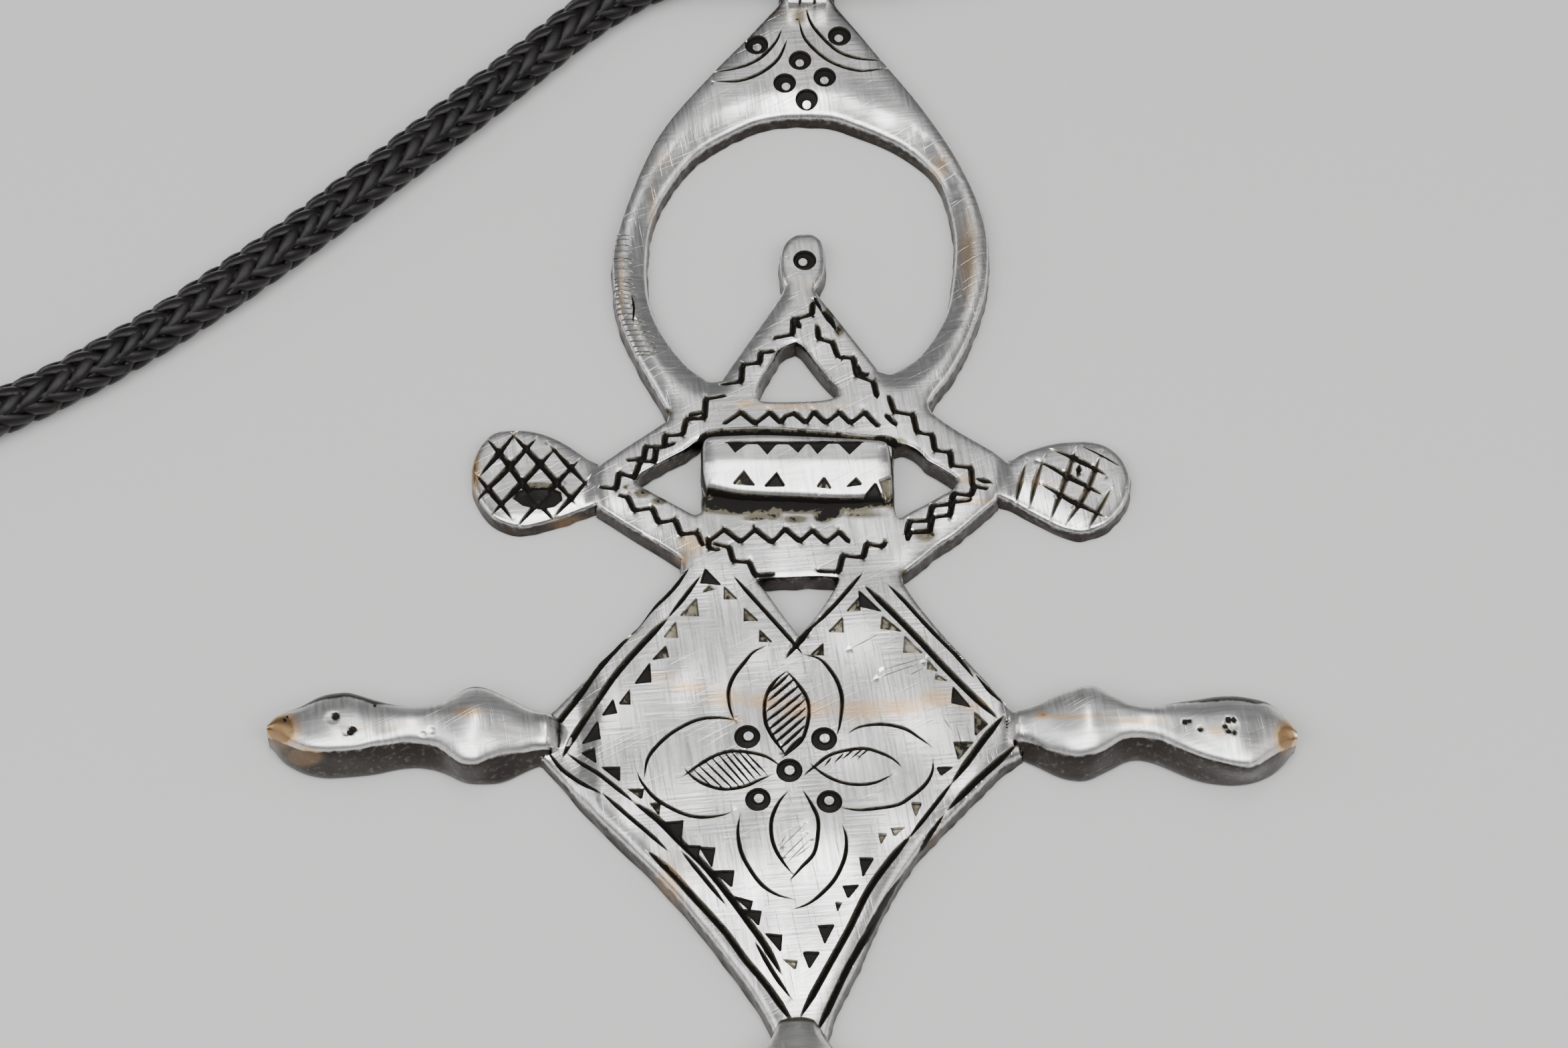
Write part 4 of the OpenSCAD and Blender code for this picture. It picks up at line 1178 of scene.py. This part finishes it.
def arm_section(back, front, foot, high, share, rim):
    """Section across an arm, front at the low end: corners from the underside round."""
    corners = np.array([
        (foot + 0.05, 0.0), (back - 0.12, 0.0), (back, ARM_BACK_SHARE * high),
        (back + (front - back) * share, high), (front, rim * high), (foot, 0.18 * high),
    ])
    after = np.roll(corners, -1, axis=0)
    out = []
    for i, (radius, bulge, count, turns) in enumerate(SECTION):
        corner = corners[i]
        start = side_cut(corner, corners[i - 1], radius)
        end = side_cut(corner, after[i], radius)
        side = side_cut(after[i], corner, SECTION[(i + 1) % len(SECTION)][0]) - end
        away = np.array([-side[1], side[0]])
        for t in np.linspace(0, 1, turns):
            out.append((1 - t) ** 2 * start + 2 * t * (1 - t) * corner + t * t * end)
        for t in np.linspace(0, 1, count + 2)[1:-1]:
            out.append(end + side * t - away * bulge * 4 * t * (1 - t))
    out = np.array(out)
    soft = ramp(out[:, 1:] / high, *SECTION_SOFT)
    for _ in range(SECTION_PASSES):
        even = 0.25 * (np.roll(out, 1, axis=0) + np.roll(out, -1, axis=0)) + 0.5 * out
        out = out + soft * (even - out)
    return out


def hand_made(rings, side, seed):
    """A row of rings with the slight unevenness of hand work, as points and their shape."""
    shape = np.array(rings)
    flat = shape.reshape(-1, 3)
    flat[:, side] += waves(np.delete(flat, side, axis=1), "arm", seed)
    flat[:, 2] *= 1 + waves(flat[:, :2], "arm height", seed + 1)
    return flat, shape.shape


def tube(rings):
    """Points and faces through a row of equal rings, closed by a point at both ends."""
    grid = np.arange(rings.shape[0] * rings.shape[1]).reshape(rings.shape[:2])
    verts = np.vstack([*rings, rings[0].mean(axis=0), rings[-1].mean(axis=0)])
    faces = quads(grid[:-1], grid[1:])
    first, last = grid[0].tolist(), grid[-1].tolist()
    for j in range(len(first)):
        k = (j + 1) % len(first)
        faces.append((grid.size, first[k], first[j]))
        faces.append((grid.size + 1, last[j], last[k]))
    return verts, faces


def dented(verts):
    """The arm's points pushed in at the charted dents, and how black each one is there."""
    at = pixel(verts)
    down = np.zeros(len(verts))
    black = np.zeros(len(verts))
    for x, y, radius, depth, dark in DENTS:
        share = np.hypot(at[:, 0] - x, (at[:, 1] - y) / 0.88) / radius
        groove = np.clip(1 - share ** 2, 0, 1) * (verts[:, 2] > 2.0)
        down = np.maximum(down, depth * groove)
        black = np.maximum(black, dark * groove ** 0.4)
    out = verts.copy()
    out[:, 2] -= down
    return out, black


def charted(chart, key, x):
    """A row of a chart at the given places."""
    return np.interp(x, *np.array(chart[key], float).T)


def side_arm(name, chart, toward, seed):
    """One arm of the sides: its charted lines raised to their heights."""
    columns = np.arange(chart["back"][0][0], chart["back"][-1][0] + 0.1, ARM_STEP)
    lines = []
    for key in ("back", "crease", "foot"):
        path = smooth(np.array(chart[key], float), 3.0)
        path = path[np.argsort(path[:, 0], kind="stable")]
        lines.append(evened(np.interp(columns, *path.T), 2))
    tall, rim = (evened(charted(chart, key, columns), 5) for key in ("high", "rim"))
    share = charted(chart, "ridge", columns)
    rings = []
    for i, x in enumerate(columns):
        levels = (ARM_BACK_SHARE * tall[i], rim[i] * tall[i], 0.1)
        back, front, foot = (spot([(x, line[i])], z)[0] for line, z in zip(lines, levels))
        section = arm_section(back[1], min(front[1], back[1] - 0.15),
                              min(foot[1], back[1] - 0.4), tall[i], share[i], rim[i])
        rings.append(np.column_stack([np.full(len(section), foot[0]), section]))
    if toward > 0:
        rings = rings[::-1]
    inner = rings[-1]
    for step, low_share in ARM_ROOT:
        ring = inner.copy()
        middle = ring[:, 1].mean()
        ring[:, 0] -= step * toward
        ring[:, 1] = middle + (ring[:, 1] - middle) * (1 - 0.12 * step)
        ring[:, 2] *= low_share
        rings.append(ring)
    flat, shape = hand_made(rings, 1, seed)
    flat, black = dented(flat)
    rings, black = flat.reshape(shape), black.reshape(shape[:2])
    if toward > 0:
        rings, black = rings[:, ::-1], black[:, ::-1]
    verts, faces = tube(rings)
    joint = np.exp(-((verts[:, 0] - inner[:, 0].mean()) / 0.3) ** 2) * 0.14
    across = pixel(verts)[:, 0]
    high = verts[:, 2] / charted(chart, "high", across) - charted(chart, "rim", across)
    # Side: the tall front wall below the crease is painted dark as shade
    values = {"oxide": np.maximum(joint, np.append(black, [0, 0])),
              "warm": stains(verts, WARM_SPOTS), "side": 1 - ramp(high, -0.09, -0.02)}
    return make_object(name, verts, faces, values)


def lower_arm():
    """The arm below, shaped like the others."""
    rings = []
    for along, half, tall in smooth(np.array(FOOT_ROWS), 0.015):
        half = max(half, 0.1) * FOOT_HALF_W
        section = arm_section(half * 0.93, -half * 0.93, -half, tall * FOOT_H, 0.5,
                              ARM_CREASE_SHARE)
        y = np.full(len(section), FOOT_AT[1] - along * FOOT_L)
        rings.append(np.column_stack([FOOT_AT[0] + section[:, 0], y, section[:, 1]]))
    first = rings[0]
    for step, low_share in FOOT_ROOT:
        ring = first.copy()
        ring[:, 1] += step
        ring[:, 2] *= low_share
        rings.insert(0, ring)
    flat, shape = hand_made(rings, 0, 31)
    verts, faces = tube(flat.reshape(shape)[:, ::-1])
    along = (FOOT_AT[1] - verts[:, 1]) / FOOT_L
    high = FOOT_H * np.interp(along, *np.array(FOOT_ROWS)[:, (0, 2)].T)
    # Side: the tall wall below the crease is painted dark as shade
    values = {"oxide": np.exp(-((verts[:, 1] - FOOT_AT[1]) / 0.3) ** 2) * 0.35,
              "warm": 0.9 * ramp(-verts[:, 1], 32.6, 34.2),
              "side": 1 - ramp(verts[:, 2] / high, 0.65, 0.72)}
    return make_object("lower_arm", verts, faces, values)


def turned(name, profile, middle, steps, values=None):
    """A body turned round a line along x, from the places and radii of its profile."""
    verts = [(middle[0] + x, middle[1] + radius * math.cos(turn),
              middle[2] + radius * math.sin(turn))
             for turn in 2 * math.pi * np.arange(steps) / steps for x, radius in profile]
    grid = np.arange(len(verts)).reshape(steps, -1)
    return make_object(name, verts, quads(grid, np.roll(grid, -1, axis=0)), values)


def bail():
    """The short tube at the top that the cord runs through, soldered to the ring."""
    half = BAIL_W / 2
    outer = [(half, BAIL_BORE_R + 0.12), (half, BAIL_R - 0.2), (half - 0.18, BAIL_R),
             (0.62, BAIL_R), (0.5, BAIL_LINE_R), (0.38, BAIL_R)]
    profile = [(-half + 0.12, BAIL_BORE_R), (half - 0.12, BAIL_BORE_R)] + outer
    profile += [(-x, radius) for x, radius in outer[::-1]]
    black = [BAIL_OXIDE if radius in (BAIL_BORE_R, BAIL_LINE_R) else 0 for _, radius in profile]
    steps = 72
    count = steps * len(profile)
    values = {"oxide": np.tile(black, steps), "warm": np.full(count, 0.1),
              "side": np.full(count, 0.2)}
    return turned("bail", profile, (BAIL_OFF, BAIL_Y, BAIL_R), steps, values)


def places_of(mesh):
    """The points of a mesh, one a row."""
    flat = np.empty(3 * len(mesh.vertices), np.float32)
    mesh.vertices.foreach_get("co", flat)
    return flat.reshape(-1, 3)


def values_of(mesh, key):
    """A named value at each point of a mesh."""
    numbers = np.zeros(len(mesh.vertices), np.float32)
    mesh.attributes[key].data.foreach_get("value", numbers)
    return numbers


def fill_seams(mesh, places, values):
    """Gives the new points along a seam the values of the nearest old point."""
    now = {key: values_of(mesh, key) for key in VALUE_KEYS}
    blank = np.flatnonzero(sum(np.abs(numbers) for numbers in now.values()) == 0)
    index, _ = nearest(places_of(mesh)[blank], places)
    for key in VALUE_KEYS:
        now[key][blank] = values[key][index]
        mesh.attributes[key].data.foreach_set("value", now[key])


def unite(base, others):
    """One closed body from overlapping ones."""
    bodies = [base] + others
    places = np.vstack([places_of(body.data) for body in bodies])
    values = {key: np.concatenate([values_of(body.data, key) for body in bodies])
              for key in VALUE_KEYS}
    for other in others:
        change = base.modifiers.new("union", "BOOLEAN")
        change.operation = "UNION"
        change.solver = "MANIFOLD"
        change.object = other
    graph = bpy.context.evaluated_depsgraph_get()
    old = [body.data for body in bodies]
    base.data = bpy.data.meshes.new_from_object(base.evaluated_get(graph))
    base.modifiers.clear()
    fill_seams(base.data, places, values)
    for other in others:
        bpy.data.objects.remove(other)
    for shape in old:
        bpy.data.meshes.remove(shape)
    return base


def dress(body, sharp, material):
    """Smooth shading with sharp ridges above an angle, and one material."""
    body.data.shade_smooth()
    if sharp:
        body.data.set_sharp_from_angle(angle=math.radians(sharp))
    body.data.materials.clear()
    body.data.materials.append(material)


def cross():
    """The whole cross, soldered into one body."""
    parts = [
        block(), side_arm("left_arm", LEFT_ARM, -1, 21), side_arm("right_arm", RIGHT_ARM, 1, 25),
        lower_arm(), bail(),
    ]
    body = unite(plate(), parts)
    body.name = "cross_looks"
    body.data.name = "cross_looks"
    dress(body, 32, silver())
    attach(body, "root")
    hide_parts("cross")


def cord_path():
    """The cord's middle, evenly spaced, with its sideways and upward directions."""
    path = smooth(np.array(CORD_ROUTE, float), 0.5)
    length = length_along(path)
    along = np.linspace(0, length[-1], int(length[-1] / 0.1))
    path = np.column_stack([np.interp(along, length, path[:, k]) for k in range(3)])
    for _ in range(30):
        path[1:-1] = (path[:-2] + path[2:] + 2 * path[1:-1]) / 4
    path[:, 2] = np.maximum(path[:, 2], CORD_R)
    ahead = unit(np.gradient(path, axis=0))
    side = unit(np.cross(ahead, (0, 0, 1)))
    return along, path, side, np.cross(side, ahead)


def cord_stations(path):
    """The places along the cord that get a ring of points, closer together near the cross."""
    low, high = FINE_BOX
    fine = np.all((path[:, :2] > low) & (path[:, :2] < high), axis=1)
    stations = [0]
    while stations[-1] < len(path) - 1:
        stations.append(min(len(path) - 1, stations[-1] + (4 if fine[stations[-1]] else 10)))
    return np.array(stations)


def rings_round(middle, across, lift, angles, wide, thick):
    """Rings of points round a line, half as wide and thick as given."""
    return (middle[:, None, :] + across[:, None, :] * (np.cos(angles)[None, :, None] * wide)
            + lift[:, None, :] * (np.sin(angles)[None, :, None] * thick))


def strand_rings(s, path, side, up, way, number):
    """Rings of one flat strand, and its tint."""
    wobble = np.random.default_rng(100 + 20 * number + way)
    drift = [size * np.sin(s / length + lag)
             for (size, length), lag in zip(STRAND_DRIFT, wobble.uniform(0, 6.28, 4))]
    turn = way * 2 * math.pi * s / BRAID_PITCH + number * 2 * math.pi / STRANDS
    turn += drift[0] + drift[1]
    sway = np.sin(4 * turn + way * 0.39)
    radius = BRAID_R + way * BRAID_SWAY * sway / np.sqrt(sway ** 2 + 0.12)
    radius += drift[2]
    out = side * np.cos(turn)[:, None] + up * np.sin(turn)[:, None]
    middle = path + out * radius[:, None]
    ahead = unit(np.gradient(middle, axis=0))
    across = unit(np.cross(ahead, out))
    wide = STRAND_W / 2 * (1 + drift[3])
    angles = np.arange(RING_COUNT) * math.pi / 4 + math.pi / 8
    rings = rings_round(middle, across, np.cross(across, ahead), angles, wide[:, None, None],
                        STRAND_T / 2)
    return rings, wobble.uniform(0, 1)


def braid():
    """The cord: two sets of flat strands that pass over and under each other, and a core."""
    along, path, side, up = cord_path()
    stations = cord_stations(path)
    core = stations[::4]
    rows = [strand_rings(along[stations], path[stations], side[stations], up[stations], way, number)
            for way in (1, -1) for number in range(STRANDS)]
    angles = np.arange(RING_COUNT) * math.pi / 4
    rows.append((rings_round(path[core], side[core], up[core], angles, CORE_R, CORE_R), 0.0))
    faces = []
    start = 0
    for rings, _ in rows:
        grid = start + np.arange(len(rings) * RING_COUNT).reshape(-1, RING_COUNT)
        faces += quads(grid[:-1], grid[1:]) + [grid[0][::-1].tolist(), grid[-1].tolist()]
        start += grid.size
    verts = np.vstack([rings.reshape(-1, 3) for rings, _ in rows])
    tint = np.concatenate([np.full(len(rings) * RING_COUNT, shade) for rings, shade in rows])
    obj = make_object("cord_looks", verts, faces, {"tint": tint})
    dress(obj, None, waxed())
    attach(obj, "root")
    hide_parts("neck_cord")


def clasp():
    """The barrel that joins the cord's two ends, with the seam of its two halves."""
    profile = CLASP_PROFILE + [(-x, radius) for x, radius in CLASP_PROFILE[::-1]]
    obj = turned("clasp_looks", profile[::-1], CLASP_AT, 64)
    dress(obj, 35, clasp_metal())
    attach(obj, "root")
    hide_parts("clasp")


def plug(tree, socket, value):
    """Sets a socket to a plain value, or links another socket to it."""
    if isinstance(value, bpy.types.NodeSocket):
        tree.links.new(value, socket)
    else:
        socket.default_value = value


def shader(name, inputs):
    """A new material, its node tree, and its main shader's inputs with some of them set."""
    material = bpy.data.materials.new(name)
    material.use_nodes = True
    main = material.node_tree.nodes["Principled BSDF"].inputs
    for key, value in inputs.items():
        main[key].default_value = value
    return material, material.node_tree, main


def node(tree, kind, inputs=(), out=0, **settings):
    """One output of a new node, its settings and inputs given."""
    made = tree.nodes.new("ShaderNode" + kind)
    for key, value in settings.items():
        setattr(made, key, value)
    for key, value in dict(inputs).items():
        plug(tree, made.inputs[key], value)
    return made.outputs[out]


def named_value(tree, key):
    """A value that the mesh holds at its points."""
    return node(tree, "Attribute", out="Fac", attribute_name=key)


def with_shares(tree, value, *shares):
    """A value with shares of others added to it."""
    for other, share in shares:
        value = node(tree, "Math", {0: other, 1: share, 2: value}, operation="MULTIPLY_ADD")
    return value


def blend(tree, factor, a, b):
    """A colour mix between two colours."""
    return node(tree, "Mix", {0: factor, 6: a, 7: b}, 2, data_type="RGBA")


def eased(tree, value, low, high):
    """0 at low and 1 at high, smooth between."""
    return node(tree, "MapRange", {"Value": value, "From Min": low, "From Max": high},
                interpolation_type="SMOOTHSTEP")


def noise(tree, where, turn, stretch, scale, detail=3.0, rough=0.55):
    """Noise over object coordinates in millimetres, turned and stretched."""
    size = tuple(MM / k for k in stretch)
    at = node(tree, "Mapping", {"Rotation": (0, 0, math.radians(turn)), "Scale": size,
                                "Vector": where}, vector_type="TEXTURE")
    return node(tree, "TexNoise", {"Scale": scale, "Detail": detail, "Roughness": rough,
                                   "Vector": at})


def bump(tree, height, strength, distance):
    """The direction of a surface whose height varies."""
    return node(tree, "Bump", {"Strength": strength, "Distance": distance, "Height": height})


def silver_tone(tree, black, dull, edge, patchy, cloud, brushed):
    """The colour of the silver, from clean through tarnished to black, with walls and sides painted dark
    as shade.
    """
    pale = eased(tree, patchy, 0.12, 0.62)
    amber = eased(tree, patchy, 0.62, 0.9)
    shade = with_shares(tree, 0.0, (eased(tree, cloud, 0.62, 0.38), 0.4))
    tone = blend(tree, eased(tree, brushed, 0.30, 0.68), COLOURS["filed"], COLOURS["bright"])
    tone = blend(tree, shade, tone, COLOURS["clouded"])
    tone = blend(tree, dull, tone, COLOURS["dull"])
    tone = blend(tree, pale, tone, COLOURS["copper"])
    tone = blend(tree, amber, tone, COLOURS["amber"])
    # Walls and sides take a painted shade, warm brown where tarnished
    wall_shade_and_tarnish = blend(tree, pale, COLOURS["wall"], COLOURS["shaded warm wall"])
    tone = blend(tree, edge, tone, wall_shade_and_tarnish)
    return blend(tree, black, tone, COLOURS["black"])


def silver():
    """Hand-filed silver with black in its cuts, warm tarnish, and painted shade on its walls and along
    the block's front.
    """
    material, tree, main = shader("silver_looks", {"Specular IOR Level": 0.12})
    where = node(tree, "TexCoord", out="Object")
    oxide, warm, side = (named_value(tree, key) for key in VALUE_KEYS)
    grain = noise(tree, where, 20, (1, 1, 1), 2.4)
    cloud = noise(tree, where, 60, (1, 1, 1), 0.35)
    filed = [noise(tree, where, turn, stretch, 1.0, 2.0) for turn, stretch in FILE_MARKS]
    scratches = [eased(tree, noise(tree, where, turn, stretch, 1.0, 0.0), 0.71, high)
                 for turn, stretch, high in SCRATCHES]
    choice = eased(tree, cloud, 0.42, 0.58)
    brushed = node(tree, "Mix", {0: choice, 2: filed[0], 3: filed[1]})
    uneven = with_shares(tree, -0.55, (grain, 1.1))
    # Black: oxide in the cuts and pits, and a painted shadow along the block's front
    black = eased(tree, with_shares(tree, oxide, (uneven, 1.0)), 0.34, 0.54)
    dull = eased(tree, oxide, 0.08, 0.32)
    # Edge: where walls and sides are painted dark as shade
    edge = eased(tree, with_shares(tree, side, (uneven, 0.6)), 0.35, 1.0)
    patchy = with_shares(tree, warm, (uneven, 0.3))
    level = node(tree, "SeparateXYZ", {0: where}, 2)
    raised = eased(tree, level, 2.5 * MM, 3.1 * MM)
    tone = silver_tone(tree, black, dull, edge, patchy, cloud, brushed)
    plug(tree, main["Base Color"], tone)
    plug(tree, main["Metallic"], with_shares(tree, 1.0, (black, -0.7)))
    rough = with_shares(tree, 0.21, (grain, 0.10), (dull, 0.12), (black, 0.15), (raised, 0.10))
    plug(tree, main["Roughness"], rough)
    height = with_shares(tree, 0.0, (brushed, 0.011), (grain, 0.0012),
                         (scratches[0], -0.006), (scratches[1], -0.006))
    plug(tree, main["Normal"], bump(tree, height, 1.0, 0.001))
    return material


def waxed():
    """Black waxed thread with a fine fibre."""
    material, tree, main = shader("waxed_looks", {"Specular IOR Level": 0.30})
    where = node(tree, "TexCoord", out="Object")
    fibre = noise(tree, where, 40, (3, 3, 3), 4.0, 4.0, 0.7)
    cloud = noise(tree, where, 0, (1, 1, 1), 0.5, 2.0)
    tone = blend(tree, named_value(tree, "tint"), COLOURS["wax"], COLOURS["worn wax"])
    plug(tree, main["Base Color"], tone)
    plug(tree, main["Roughness"], with_shares(tree, 0.12, (cloud, 0.2)))
    plug(tree, main["Normal"], bump(tree, fibre, 0.8, 0.00004))
    return material


def clasp_metal():
    """Plain grey metal of the barrel."""
    plain = {"Base Color": COLOURS["clasp"], "Metallic": 1.0}
    material, tree, main = shader("clasp_looks", plain)
    grain = noise(tree, node(tree, "TexCoord", out="Object"), 0, (1, 1, 1), 3.0, 4.0)
    plug(tree, main["Roughness"], with_shares(tree, 0.2, (grain, 0.2)))
    return material


def floor():
    """A wide pale floor."""
    half = 3000.0
    corners = [(-half, -half, 0), (half, -half, 0), (half, half, 0), (-half, half, 0)]
    obj = make_object("floor", corners, [(0, 1, 2, 3)])
    plain = {"Base Color": COLOURS["floor"], "Roughness": 0.75}
    obj.data.materials.append(shader("floor_looks", plain)[0])


def area_light(name, at, toward, size, power, colour):
    """A soft rectangular light that faces a place."""
    data = bpy.data.lights.new(name, "AREA")
    data.shape = "RECTANGLE"
    data.size, data.size_y = size
    data.energy = power
    data.color = colour
    obj = bpy.data.objects.new(name, data)
    obj.location = at
    facing = Vector(toward) - Vector(at)
    obj.rotation_euler = facing.to_track_quat("-Z", "Y").to_euler()
    bpy.context.scene.collection.objects.link(obj)


def lights():
    """Plain soft studio light: a bright one over the front, a weak one beyond."""
    world = bpy.data.worlds.new("studio")
    world.use_nodes = True
    sky = world.node_tree.nodes["Background"]
    sky.inputs[0].default_value = (0.95, 0.97, 1.0, 1)
    sky.inputs[1].default_value = 0.20
    bpy.context.scene.world = world
    for row in LIGHTS:
        area_light(*row)


def camera():
    """The camera at the photograph's angle."""
    data = bpy.data.cameras.new("camera")
    data.lens = LENS
    data.sensor_width = SENSOR
    data.clip_start = 0.01
    data.clip_end = 20
    obj = bpy.data.objects.new("camera", data)
    obj.location = tuple(EYE * MM)
    obj.rotation_euler = (math.pi / 2 - ELEVATION, 0, 0)
    bpy.context.scene.collection.objects.link(obj)
    bpy.context.scene.camera = obj


camera()
braid()
cross()
clasp()
floor()
lights()
